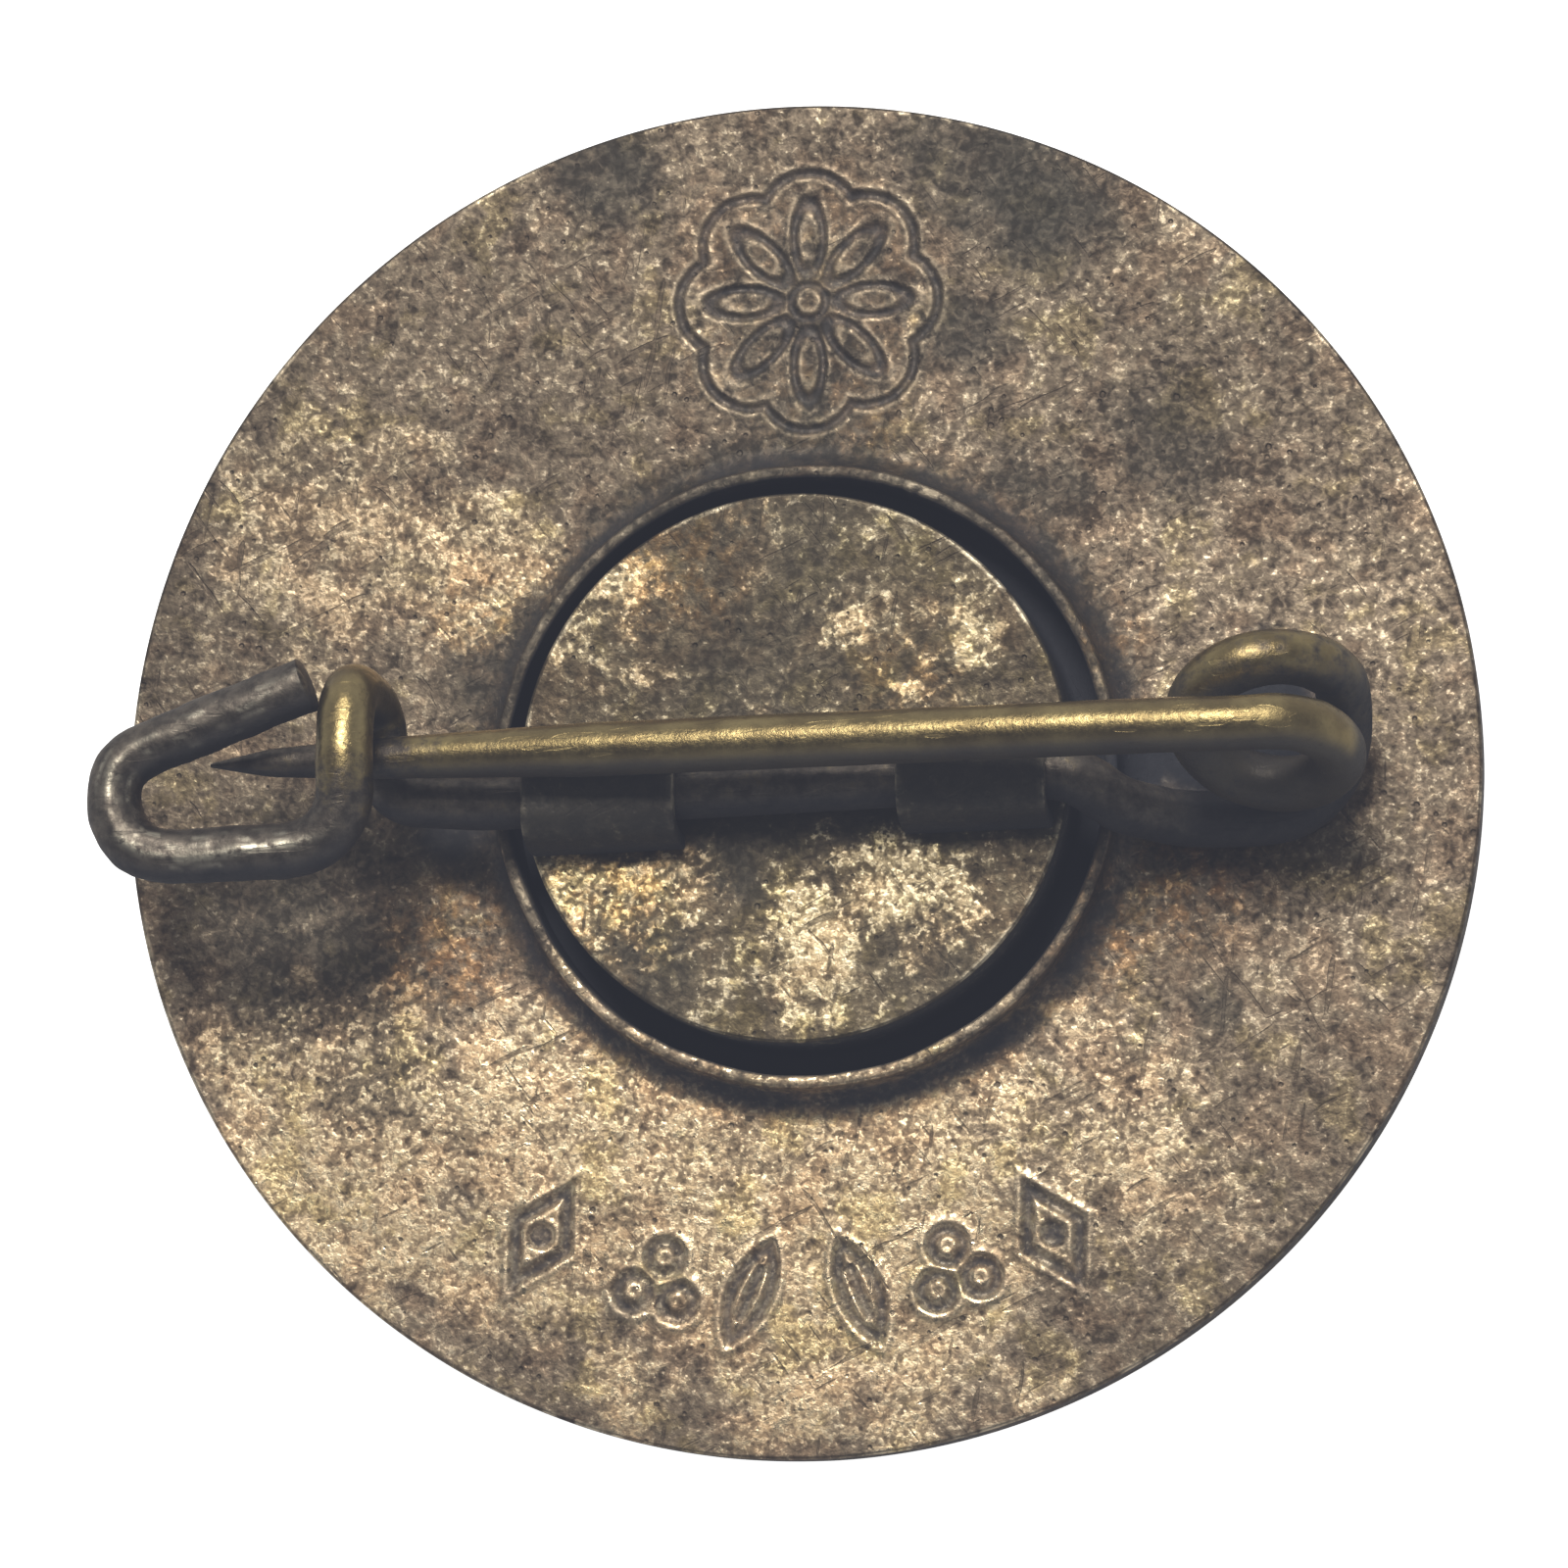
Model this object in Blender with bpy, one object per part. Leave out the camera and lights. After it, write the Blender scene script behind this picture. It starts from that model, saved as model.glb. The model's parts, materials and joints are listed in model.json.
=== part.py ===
"""Round enamelled lapel badge with a one-piece wire brooch on its back.

The badge lies face down. The origin is the centre of its front face, +Z points out of
its back, +X runs from the catch towards the spring coil, and +Y is the badge's top.
"""

import math

import bmesh
import bpy
from mathutils import Matrix, Vector

MM = 0.001

# Disc stack, from the front face up
DISC_RADIUS = 11.5 * MM
SEGMENTS = 72
SEAM_GAP = 0.03 * MM
DISC_HEIGHT = 1.60 * MM
SHELL_FLOOR_TOP = 0.85 * MM
SHELL_WALL = 0.62 * MM
SHOULDER_HEIGHT = 1.05 * MM
FACE_RADIUS = 10.3 * MM
RIM_WIDTH = 0.55 * MM
PARTITION_OUTER = 6.4 * MM
PARTITION_WIDTH = 0.45 * MM
BOSS_RADIUS = 1.3 * MM
CELL_DEPTH = 0.40 * MM
ENAMEL_INSET = 0.03 * MM

# Back plate with its rolled collar
PLATE_THICKNESS = 0.36 * MM
PLATE_EDGE_ROUND = 0.06 * MM
COLLAR_CREST_RADIUS = 5.17 * MM
COLLAR_HEIGHT = 0.80 * MM
COLLAR_ROLL = 0.11 * MM
COLLAR_FLARE = 0.50 * MM
COLLAR_OFFSET = Vector((0.23, -0.11, 0.0)) * MM

# Centre plate, a flanged cup that stands up inside the collar
CUP_RADIUS = 4.58 * MM
CUP_OFFSET = Vector((0.126, -0.045, 0.0)) * MM
CUP_TOP = 2.85 * MM
CUP_SHEET = 0.35 * MM
CUP_EDGE_ROUND = 0.06 * MM
CUP_FLANGE_RADIUS = 6.0 * MM

# Straps lanced up from the centre plate, over the base wire
STRAP_LEFT_SPAN = (-4.28 * MM, -1.70 * MM)
STRAP_RIGHT_SPAN = (2.00 * MM, 4.48 * MM)
STRAP_SHEET = 0.24 * MM
STRAP_CLEARANCE = 0.03 * MM
STRAP_FOOT_SPREAD = 0.13 * MM
STRAP_FOOT_DEPTH = 0.12 * MM
STRAP_CROWN_SHARE = 0.78

# Wire
WIRE_RADIUS = 0.465 * MM
WIRE_SEAT_GAP = 0.025 * MM
NEEDLE_RADIUS = 0.455 * MM
NEEDLE_CATCH_RADIUS = 0.330 * MM
NEEDLE_SHANK_RADIUS = 0.240 * MM
NEEDLE_SHANK_LENGTH = 1.5 * MM
NEEDLE_TIP_RADIUS = 0.035 * MM
BEVEL_RESOLUTION = 4
ARC_STEP = math.radians(12.0)

# Catch, from the wire's cut end round a flat loop to the hook that holds the needle down
CATCH_CUT_END = Vector((-7.67, 1.17, 5.15)) * MM
CATCH_FAR_UPPER = Vector((-10.96, -0.05, 5.00)) * MM
CATCH_FAR_LOWER = Vector((-10.91, -1.66, 5.05)) * MM
HOOK_LOWER = Vector((-6.97, -1.58, 5.18)) * MM
HOOK_TOP = Vector((-6.97, -0.16, 5.44)) * MM
HOOK_UPPER = Vector((-6.97, 1.13, 5.18)) * MM

# Base wire, from the foot of the hook's post, under the straps, to the coil
BASE_Z = CUP_TOP + WIRE_SEAT_GAP + WIRE_RADIUS
FEED_Z = DISC_HEIGHT + WIRE_SEAT_GAP + WIRE_RADIUS
POST_FOOT = Vector((-6.83 * MM, 1.02 * MM, BASE_Z + 0.20 * MM))
POST_TURN = Vector((-6.66 * MM, -0.50 * MM, BASE_Z))
STRAP_RUN_LEFT = Vector((-5.05 * MM, -0.62 * MM, BASE_Z))
STRAP_RUN_RIGHT = Vector((4.85 * MM, -0.28 * MM, BASE_Z))
DROP_BEND = Vector((5.55 * MM, -0.82 * MM, BASE_Z - 0.36 * MM))
FEED_BEND = Vector((6.60 * MM, -0.98 * MM, FEED_Z))
FEED_END = Vector((7.80 * MM, -0.98 * MM, FEED_Z))
SPLICE_GAP = 0.03 * MM

# Spring coil: the feed passes under a tilted helix whose last turn runs out into the needle
COIL_CENTRE = Vector((8.15, 0.06, 4.20)) * MM
COIL_TILT = math.radians(30.0)
COIL_RADIUS = 1.22 * MM
COIL_PITCH = 1.35 * MM
COIL_START = math.radians(90.0)
COIL_END = math.radians(530.0)
FEED_START_REACH = 4.0 * MM
FEED_END_REACH = 5.0 * MM

# Needle line, from above the coil to the point under the hook
NEEDLE_ROOT = Vector((6.4, 0.09, 5.54)) * MM
NEEDLE_POINT = Vector((-9.5, 0.0, 4.15)) * MM
NEEDLE_ROOT_REACH = 1.9 * MM
NEEDLE_TAPER_START_X = -3.0 * MM


def clear_scene():
    for obj in list(bpy.data.objects):
        bpy.data.objects.remove(obj, do_unlink=True)


def make_material(name, colour, roughness, metallic):
    material = bpy.data.materials.new(name)
    material.use_nodes = True
    shader = material.node_tree.nodes["Principled BSDF"]
    shader.inputs["Base Color"].default_value = (*colour, 1.0)
    shader.inputs["Roughness"].default_value = roughness
    shader.inputs["Metallic"].default_value = metallic
    material.diffuse_color = (*colour, 1.0)
    return material


def add_object(name, data, material, location=(0.0, 0.0, 0.0)):
    obj = bpy.data.objects.new(name, data)
    obj.location = location
    bpy.context.scene.collection.objects.link(obj)
    if material is not None:
        data.materials.append(material)
    return obj


def arc(centre, radius, start_deg, end_deg, steps):
    """Points (r, z) along a circular arc of a lathe profile."""
    points = []
    for i in range(steps + 1):
        angle = math.radians(start_deg + (end_deg - start_deg) * i / steps)
        r = centre[0] + radius * math.cos(angle)
        z = centre[1] + radius * math.sin(angle)
        points.append((r, z))
    return points


def turned(name, profile, material):
    """A solid of revolution about Z. A profile that starts on the axis also ends there."""
    bm = bmesh.new()
    verts = [bm.verts.new((r, 0.0, z)) for r, z in profile]
    edges = [bm.edges.new(pair) for pair in zip(verts, verts[1:])]
    if profile[0][0] > 0.0:
        edges.append(bm.edges.new((verts[-1], verts[0])))
    bmesh.ops.spin(
        bm,
        geom=verts + edges,
        cent=(0.0, 0.0, 0.0),
        axis=(0.0, 0.0, 1.0),
        angle=2.0 * math.pi,
        steps=SEGMENTS,
        use_merge=True,
    )
    bmesh.ops.remove_doubles(bm, verts=bm.verts, dist=0.0001 * MM)
    bmesh.ops.recalc_face_normals(bm, faces=bm.faces)
    mesh = bpy.data.meshes.new(name)
    bm.to_mesh(mesh)
    bm.free()
    mesh.shade_smooth()
    mesh.set_sharp_from_angle(angle=math.radians(35.0))
    return add_object(name, mesh, material)


def front_shell(material):
    """Struck cup: enamel cells in its face, a rounded shoulder and a wall for the back plate."""
    shoulder = []
    for i in range(7):
        angle = math.radians(90.0 * i / 6)
        r = FACE_RADIUS + (DISC_RADIUS - FACE_RADIUS) * math.sin(angle)
        z = SHOULDER_HEIGHT * (1.0 - math.cos(angle))
        shoulder.append((r, z))
    wall_top = DISC_HEIGHT - PLATE_THICKNESS - SEAM_GAP
    wall_r = DISC_RADIUS - SHELL_WALL
    profile = [
        (0.0, 0.0),
        (BOSS_RADIUS, 0.0),
        (BOSS_RADIUS, CELL_DEPTH),
        (PARTITION_OUTER - PARTITION_WIDTH, CELL_DEPTH),
        (PARTITION_OUTER - PARTITION_WIDTH, 0.0),
        (PARTITION_OUTER, 0.0),
        (PARTITION_OUTER, CELL_DEPTH),
        (FACE_RADIUS - RIM_WIDTH, CELL_DEPTH),
        (FACE_RADIUS - RIM_WIDTH, 0.0),
        *shoulder,
        (DISC_RADIUS, wall_top),
        (wall_r, wall_top),
        (wall_r, SHELL_FLOOR_TOP),
        (0.0, SHELL_FLOOR_TOP),
    ]
    return turned("front_shell", profile, material)


def enamel_fill(name, inner, outer, material):
    """A ring of enamel that fills one cell to just below its metal edges."""
    low = ENAMEL_INSET
    high = CELL_DEPTH - SEAM_GAP
    crown = 0.05 * MM
    profile = [
        (inner + SEAM_GAP, low + crown),
        (inner + SEAM_GAP + 3.0 * crown, low),
        (outer - SEAM_GAP - 3.0 * crown, low),
        (outer - SEAM_GAP, low + crown),
        (outer - SEAM_GAP, high),
        (inner + SEAM_GAP, high),
    ]
    return turned(name, profile, material)


def back_plate(material):
    """Sheet disc whose middle is turned up into a thin rolled collar around a hole."""
    top = DISC_HEIGHT
    bottom = top - PLATE_THICKNESS
    outer = DISC_RADIUS
    crest_z = top + COLLAR_HEIGHT - COLLAR_ROLL
    hole_r = COLLAR_CREST_RADIUS - COLLAR_ROLL
    wall_r = COLLAR_CREST_RADIUS + COLLAR_ROLL
    flare = arc((wall_r + COLLAR_FLARE, top + COLLAR_FLARE), COLLAR_FLARE, 270.0, 195.0, 4)
    roll = arc((COLLAR_CREST_RADIUS, crest_z), COLLAR_ROLL, 0.0, 180.0, 4)
    edge = [(outer, top - PLATE_EDGE_ROUND), (outer - PLATE_EDGE_ROUND, top)]
    profile = [(outer, bottom), *edge, *flare, *roll, (hole_r, bottom)]
    plate = turned("back_plate", profile, material)
    # The collar was raised a little off the disc's centre; the rim stays where it is
    collar_edge = wall_r + COLLAR_FLARE
    for vertex in plate.data.vertices:
        r = vertex.co.xy.length
        share = min(1.0, max(0.0, (outer - r) / (outer - collar_edge)))
        vertex.co += COLLAR_OFFSET * share
    return plate


def wire_line_y(x):
    """Y of the straight stretch of base wire that runs under the straps."""
    share = (x - STRAP_RUN_LEFT.x) / (STRAP_RUN_RIGHT.x - STRAP_RUN_LEFT.x)
    return STRAP_RUN_LEFT.y + (STRAP_RUN_RIGHT.y - STRAP_RUN_LEFT.y) * share


def strap_tool(name, x0, x1):
    """An arch-shaped strap over the base wire, as the operand that is joined to the cup."""
    half = WIRE_RADIUS + STRAP_CLEARANCE
    inside_top = BASE_Z + half
    outside_top = inside_top + STRAP_SHEET
    foot_z = CUP_TOP - STRAP_FOOT_DEPTH
    foot_in = half + STRAP_FOOT_SPREAD
    foot_out = foot_in + STRAP_SHEET
    flat = STRAP_CROWN_SHARE * half
    section = [
        (-foot_out, foot_z),
        (-foot_in, foot_z),
        (-foot_in, CUP_TOP),
        (-flat, inside_top),
        (flat, inside_top),
        (foot_in, CUP_TOP),
        (foot_in, foot_z),
        (foot_out, foot_z),
        (foot_out, CUP_TOP),
        (flat + 0.5 * STRAP_SHEET, outside_top),
        (-flat - 0.5 * STRAP_SHEET, outside_top),
        (-foot_out, CUP_TOP),
    ]
    bm = bmesh.new()
    rings = []
    for x in (x0, x1):
        centre_y = wire_line_y(x)
        rings.append([bm.verts.new((x, centre_y + y, z)) for y, z in section])
    count = len(section)
    for i in range(count):
        j = (i + 1) % count
        bm.faces.new((rings[0][i], rings[0][j], rings[1][j], rings[1][i]))
    # Each end is capped as the left foot, the arch's crown and the right foot
    for ring in rings:
        bm.faces.new((ring[0], ring[1], ring[2], ring[11]))
        bm.faces.new((ring[2], ring[3], ring[10], ring[11]))
        bm.faces.new((ring[3], ring[4], ring[9], ring[10]))
        bm.faces.new((ring[4], ring[5], ring[8], ring[9]))
        bm.faces.new((ring[5], ring[6], ring[7], ring[8]))
    bmesh.ops.recalc_face_normals(bm, faces=bm.faces)
    mesh = bpy.data.meshes.new(name)
    bm.to_mesh(mesh)
    bm.free()
    tool = add_object(name, mesh, None)
    tool.hide_render = True
    tool.display_type = "WIRE"
    return tool


def centre_plate(material):
    """Flanged cup, open below, with two straps standing on its top."""
    top_round = arc(
        (CUP_RADIUS - CUP_EDGE_ROUND, CUP_TOP - CUP_EDGE_ROUND), CUP_EDGE_ROUND, 0.0, 90.0, 3
    )
    flange_top = DISC_HEIGHT - PLATE_THICKNESS - SEAM_GAP
    flange_bottom = SHELL_FLOOR_TOP + SEAM_GAP
    inner = CUP_RADIUS - CUP_SHEET
    profile = [
        (0.0, CUP_TOP - CUP_SHEET),
        (inner, CUP_TOP - CUP_SHEET),
        (inner, flange_bottom),
        (CUP_FLANGE_RADIUS, flange_bottom),
        (CUP_FLANGE_RADIUS, flange_top),
        (CUP_RADIUS, flange_top),
        *top_round,
        (0.0, CUP_TOP),
    ]
    cup = turned("centre_plate", profile, material)
    cup.data.transform(Matrix.Translation(CUP_OFFSET))
    spans = {"strap_left": STRAP_LEFT_SPAN, "strap_right": STRAP_RIGHT_SPAN}
    for name, (x0, x1) in spans.items():
        union = cup.modifiers.new(name, "BOOLEAN")
        union.operation = "UNION"
        union.solver = "EXACT"
        union.object = strap_tool(name, x0, x1)
    return cup


def bent_path(corners, radii):
    """Centreline of bent wire: straight stretches joined by arcs, one radius per inner corner."""
    corners = [Vector(c) for c in corners]
    path = [corners[0]]
    for before, corner, after, radius in zip(corners, corners[1:], corners[2:], radii):
        incoming = (corner - before).normalized()
        outgoing = (after - corner).normalized()
        turn = incoming.angle(outgoing)
        tangent = radius * math.tan(turn / 2.0)
        start = corner - incoming * tangent
        normal = incoming.cross(outgoing).normalized()
        centre = start + normal.cross(incoming) * radius
        steps = max(1, math.ceil(turn / ARC_STEP))
        for i in range(steps + 1):
            rotation = Matrix.Rotation(turn * i / steps, 3, normal)
            path.append(centre + rotation @ (start - centre))
    path.append(corners[-1])
    return path


def hermite(start, start_reach, end, end_reach, steps):
    """A smooth run of wire between two points. A reach is a direction with a strength."""
    points = []
    for i in range(steps + 1):
        t = i / steps
        h00 = 2 * t**3 - 3 * t**2 + 1
        h10 = t**3 - 2 * t**2 + t
        h01 = 3 * t**2 - 2 * t**3
        h11 = t**3 - t**2
        points.append(h00 * start + h10 * start_reach + h01 * end + h11 * end_reach)
    return points


def coil_axis():
    """Unit vector along the coil, pointing from its first turn to the needle's turn."""
    return Vector((0.0, -math.cos(COIL_TILT), math.sin(COIL_TILT)))


def coil_point(angle):
    """Centreline of the coil. Angle 0 is its underside, where the wire heads along +X."""
    upright = Vector((0.0, math.sin(COIL_TILT), math.cos(COIL_TILT)))
    along = COIL_PITCH * (angle / (2.0 * math.pi) - 1.0)
    ring = Vector((1.0, 0.0, 0.0)) * math.sin(angle) - upright * math.cos(angle)
    return COIL_CENTRE + ring * COIL_RADIUS + coil_axis() * along


def coil_direction(angle):
    step = 0.001
    return (coil_point(angle + step) - coil_point(angle - step)).normalized()


def wire(name, path, radii, material, origin=Vector((0.0, 0.0, 0.0))):
    """Round wire along a path, as a curve whose points carry the wire's radius."""
    curve = bpy.data.curves.new(name, "CURVE")
    curve.dimensions = "3D"
    curve.twist_mode = "MINIMUM"
    curve.bevel_depth = 1.0
    curve.bevel_resolution = BEVEL_RESOLUTION
    curve.use_fill_caps = True
    spline = curve.splines.new("POLY")
    spline.points.add(len(path) - 1)
    spline.use_smooth = True
    for point, place, radius in zip(spline.points, path, radii):
        point.co = (*(place - origin), 1.0)
        point.radius = radius
    return add_object(name, curve, material, origin)


def base_wire(material):
    """From the cut end of the catch, round its loop, past the hook and on to the coil."""
    bends = [
        (CATCH_FAR_UPPER, 0.72 * MM),
        (CATCH_FAR_LOWER, 0.95 * MM),
        (HOOK_LOWER, 1.00 * MM),
        (HOOK_TOP, 2.00 * MM),
        (HOOK_UPPER, 0.60 * MM),
        (POST_FOOT, 0.60 * MM),
        (POST_TURN, 0.60 * MM),
        (STRAP_RUN_LEFT, 3.0 * MM),
        (STRAP_RUN_RIGHT, 1.2 * MM),
        (DROP_BEND, 1.0 * MM),
        (FEED_BEND, 1.0 * MM),
    ]
    corners = [CATCH_CUT_END, *(corner for corner, _ in bends), FEED_END]
    path = bent_path(corners, [radius for _, radius in bends])
    return wire("base_wire", path, [WIRE_RADIUS] * len(path), material)


def spring_coil(material):
    """Feed from the base wire, then the helix, up to the start of the needle's run."""
    along_feed = (FEED_END - FEED_BEND).normalized()
    start = FEED_END + along_feed * SPLICE_GAP
    start_reach = along_feed * FEED_START_REACH
    end_reach = coil_direction(COIL_START) * FEED_END_REACH
    path = hermite(start, start_reach, coil_point(COIL_START), end_reach, 12)
    fade = len(path)
    steps = math.ceil((COIL_END - COIL_START) / ARC_STEP)
    for i in range(1, steps + 1):
        path.append(coil_point(COIL_START + (COIL_END - COIL_START) * i / steps))
    radii = []
    for i in range(len(path)):
        share = min(1.0, i / fade)
        radii.append(WIRE_RADIUS + (NEEDLE_RADIUS - WIRE_RADIUS) * share)
    return wire("spring_coil", path, radii, material, COIL_CENTRE)


def needle(material):
    """The coil's last quarter turn, then full wire, a slim shank under the hook and a point."""
    direction = (NEEDLE_POINT - NEEDLE_ROOT).normalized()
    clear_of_coil = COIL_END + SPLICE_GAP / COIL_RADIUS
    start_reach = coil_direction(clear_of_coil) * NEEDLE_ROOT_REACH
    end_reach = direction * NEEDLE_ROOT_REACH
    path = hermite(coil_point(clear_of_coil), start_reach, NEEDLE_ROOT, end_reach, 8)
    radii = [NEEDLE_RADIUS] * len(path)
    stations = [
        (NEEDLE_TAPER_START_X, NEEDLE_RADIUS),
        (HOOK_UPPER.x, NEEDLE_CATCH_RADIUS),
        (HOOK_UPPER.x - NEEDLE_SHANK_LENGTH, NEEDLE_SHANK_RADIUS),
        (NEEDLE_POINT.x, NEEDLE_TIP_RADIUS),
    ]
    for x, radius in stations:
        path.append(NEEDLE_ROOT + direction * ((x - NEEDLE_ROOT.x) / direction.x))
        radii.append(radius)
    return wire("needle", path, radii, material, COIL_CENTRE)


def joint_empty(name, parent=None):
    empty = bpy.data.objects.new(name, None)
    empty.empty_display_size = 2.0 * MM
    bpy.context.scene.collection.objects.link(empty)
    if parent is None:
        empty.location = COIL_CENTRE
    else:
        empty.parent = parent
    return empty


def main():
    clear_scene()
    gilt = make_material("gilt_brass", (0.62, 0.45, 0.20), 0.30, 1.0)
    plated = make_material("plated_brass", (0.46, 0.41, 0.34), 0.45, 1.0)
    plated_centre = make_material("plated_centre", (0.44, 0.40, 0.32), 0.42, 1.0)
    ring_enamel = make_material("ring_enamel", (0.02, 0.13, 0.12), 0.12, 0.0)
    centre_enamel = make_material("centre_enamel", (0.55, 0.50, 0.36), 0.12, 0.0)
    dark_wire = make_material("worn_wire", (0.30, 0.27, 0.22), 0.40, 1.0)
    coil_brass = make_material("coil_brass", (0.48, 0.38, 0.16), 0.32, 1.0)
    needle_brass = make_material("needle_brass", (0.50, 0.41, 0.19), 0.30, 1.0)

    partition_inner = PARTITION_OUTER - PARTITION_WIDTH
    front_shell(gilt)
    enamel_fill("enamel_ring", PARTITION_OUTER, FACE_RADIUS - RIM_WIDTH, ring_enamel)
    enamel_fill("enamel_centre", BOSS_RADIUS, partition_inner, centre_enamel)
    back_plate(plated)
    centre_plate(plated_centre)
    base_wire(dark_wire)

    release_axis = joint_empty("release_axis")
    lift_axis = joint_empty("lift_axis", release_axis)
    coil = spring_coil(coil_brass)
    coil.parent = release_axis
    coil.location = (0.0, 0.0, 0.0)
    pin = needle(needle_brass)
    pin.parent = lift_axis
    pin.location = (0.0, 0.0, 0.0)


main()
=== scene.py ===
"""Looks of a small enamelled lapel badge that lies face down, so its pin and aged back are seen.

Lengths are metres in the CAD's frame: the origin is the centre of the front face, +Z points out
of the badge's back, +X runs from the catch to the spring coil and +Y is the badge's top.
"""

import json
import math

import bmesh
import bpy
import numpy as np
from mathutils import Matrix, Vector, noise
from mathutils.bvhtree import BVHTree


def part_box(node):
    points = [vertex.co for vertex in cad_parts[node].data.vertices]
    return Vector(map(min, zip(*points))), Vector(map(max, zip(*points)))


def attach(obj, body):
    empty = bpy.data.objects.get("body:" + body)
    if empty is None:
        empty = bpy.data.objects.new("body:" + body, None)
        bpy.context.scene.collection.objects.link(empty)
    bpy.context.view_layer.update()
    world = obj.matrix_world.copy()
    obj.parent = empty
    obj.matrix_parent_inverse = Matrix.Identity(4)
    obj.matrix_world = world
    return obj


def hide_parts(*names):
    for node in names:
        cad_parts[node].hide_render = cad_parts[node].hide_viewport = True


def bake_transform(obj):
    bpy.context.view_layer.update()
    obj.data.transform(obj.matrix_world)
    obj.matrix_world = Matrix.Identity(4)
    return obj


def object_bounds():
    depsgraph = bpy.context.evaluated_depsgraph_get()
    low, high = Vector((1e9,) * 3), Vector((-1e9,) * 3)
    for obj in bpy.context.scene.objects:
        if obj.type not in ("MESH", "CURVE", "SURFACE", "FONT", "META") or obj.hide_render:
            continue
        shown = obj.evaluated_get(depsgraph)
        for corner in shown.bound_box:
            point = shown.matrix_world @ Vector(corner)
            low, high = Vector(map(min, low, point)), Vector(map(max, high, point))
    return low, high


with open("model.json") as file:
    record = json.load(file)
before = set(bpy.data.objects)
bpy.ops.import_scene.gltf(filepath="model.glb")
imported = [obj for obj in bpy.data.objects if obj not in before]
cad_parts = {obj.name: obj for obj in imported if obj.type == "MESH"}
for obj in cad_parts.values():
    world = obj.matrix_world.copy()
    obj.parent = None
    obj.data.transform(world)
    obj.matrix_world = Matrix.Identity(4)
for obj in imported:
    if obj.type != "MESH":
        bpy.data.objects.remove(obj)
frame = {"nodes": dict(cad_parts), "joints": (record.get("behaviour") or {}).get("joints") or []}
cad_low, cad_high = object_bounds()

MM = 0.001

# Places read from the CAD nodes
_, SHELL_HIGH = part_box("front_shell")
PLATE_LOW, PLATE_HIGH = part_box("back_plate")
CUP_LOW, CUP_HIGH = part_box("centre_plate")
DISC_RADIUS = SHELL_HIGH.x
SHELL_TOP = SHELL_HIGH.z
PLATE_RADIUS = PLATE_HIGH.x
PLATE_BOTTOM = PLATE_LOW.z
COLLAR_TOP = PLATE_HIGH.z
FLANGE_RADIUS = (CUP_HIGH.x - CUP_LOW.x) / 2
CUP_CENTRE = Vector(((CUP_HIGH.x + CUP_LOW.x) / 2, (CUP_HIGH.y + CUP_LOW.y) / 2, 0.0))
COIL_CENTRE = Vector(frame["joints"][1]["pos_m"])
COIL_AXIS = -Vector(frame["joints"][1]["axis"])

# Back plate and its collar
PLATE_THICKNESS = 0.36 * MM
DISC_TOP = PLATE_BOTTOM + PLATE_THICKNESS
COLLAR_CENTRE = Vector((0.23, -0.11, 0.0)) * MM
PLATE_EDGE_ROUND = 0.06 * MM
COLLAR_ROLL = 0.11 * MM
COLLAR_FLARE = 0.50 * MM
COLLAR_CREST_RADIUS = 5.17 * MM
COLLAR_CREST_Z = COLLAR_TOP - COLLAR_ROLL
COLLAR_FOOT = COLLAR_CREST_RADIUS + COLLAR_ROLL + COLLAR_FLARE
HOLE_RADIUS = COLLAR_CREST_RADIUS - COLLAR_ROLL
RELIEF_STEP = 0.04 * MM
RELIEF_STEP_DEG = 0.25
PLAIN_STEP_DEG = 0.8

# Cup and straps
CUP_SHEET = 0.35 * MM
CUP_EDGE_ROUND = 0.06 * MM
STRAP_SHEET = 0.24 * MM
STRAP_HALF_FOOT = 0.87 * MM
STRAP_SOFT_EDGE = 0.05 * MM

# Radius at the middle of turned parts, where a fan closes them
HUB = 0.02 * MM

# Shell and enamel on the unseen face
WALL = 0.62 * MM
FACE_EASE = 0.05 * MM
FLOOR_TOP = 0.85 * MM
SHOULDER_HEIGHT = 1.05 * MM
FACE_RADIUS = 10.3 * MM
RIM_WIDTH = 0.55 * MM
PARTITION_OUTER = 6.4 * MM
PARTITION_WIDTH = 0.45 * MM
BOSS_RADIUS = 1.3 * MM
CELL_DEPTH = 0.40 * MM
MENISCUS = 0.05 * MM
GAP = 0.03 * MM

# Wire
FEEL_STEP = 0.12 * MM
FEELERS = 12
WIRE_STEP = 0.045 * MM
WIRE_SIDES = 40
WIRE_SOFTEN = 0.25 * MM

# Stage and camera; the photograph looks straight down, tilted towards the badge's lower right
FLOOR_HALF = 0.35
SKY_STRENGTH = (0.07, 0.24)
SKY_REACH = 0.9
HORIZON_STRENGTH = 0.60
HORIZON_REACH = 0.75
CAMERA_DISTANCE = 0.140
CAMERA_TILT_DEG = 12.2
CAMERA_AZIMUTH_DEG = -43.3
FRAME_WIDTH = 26.352 * MM
SENSOR_WIDTH = 36.0
AIM_RIGHT, AIM_UP = -0.224 * MM, -0.155 * MM
BLACK_LEVEL = (-0.025, -0.027, -0.035)


# ---------------------------------------------------------------- meshes


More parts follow.
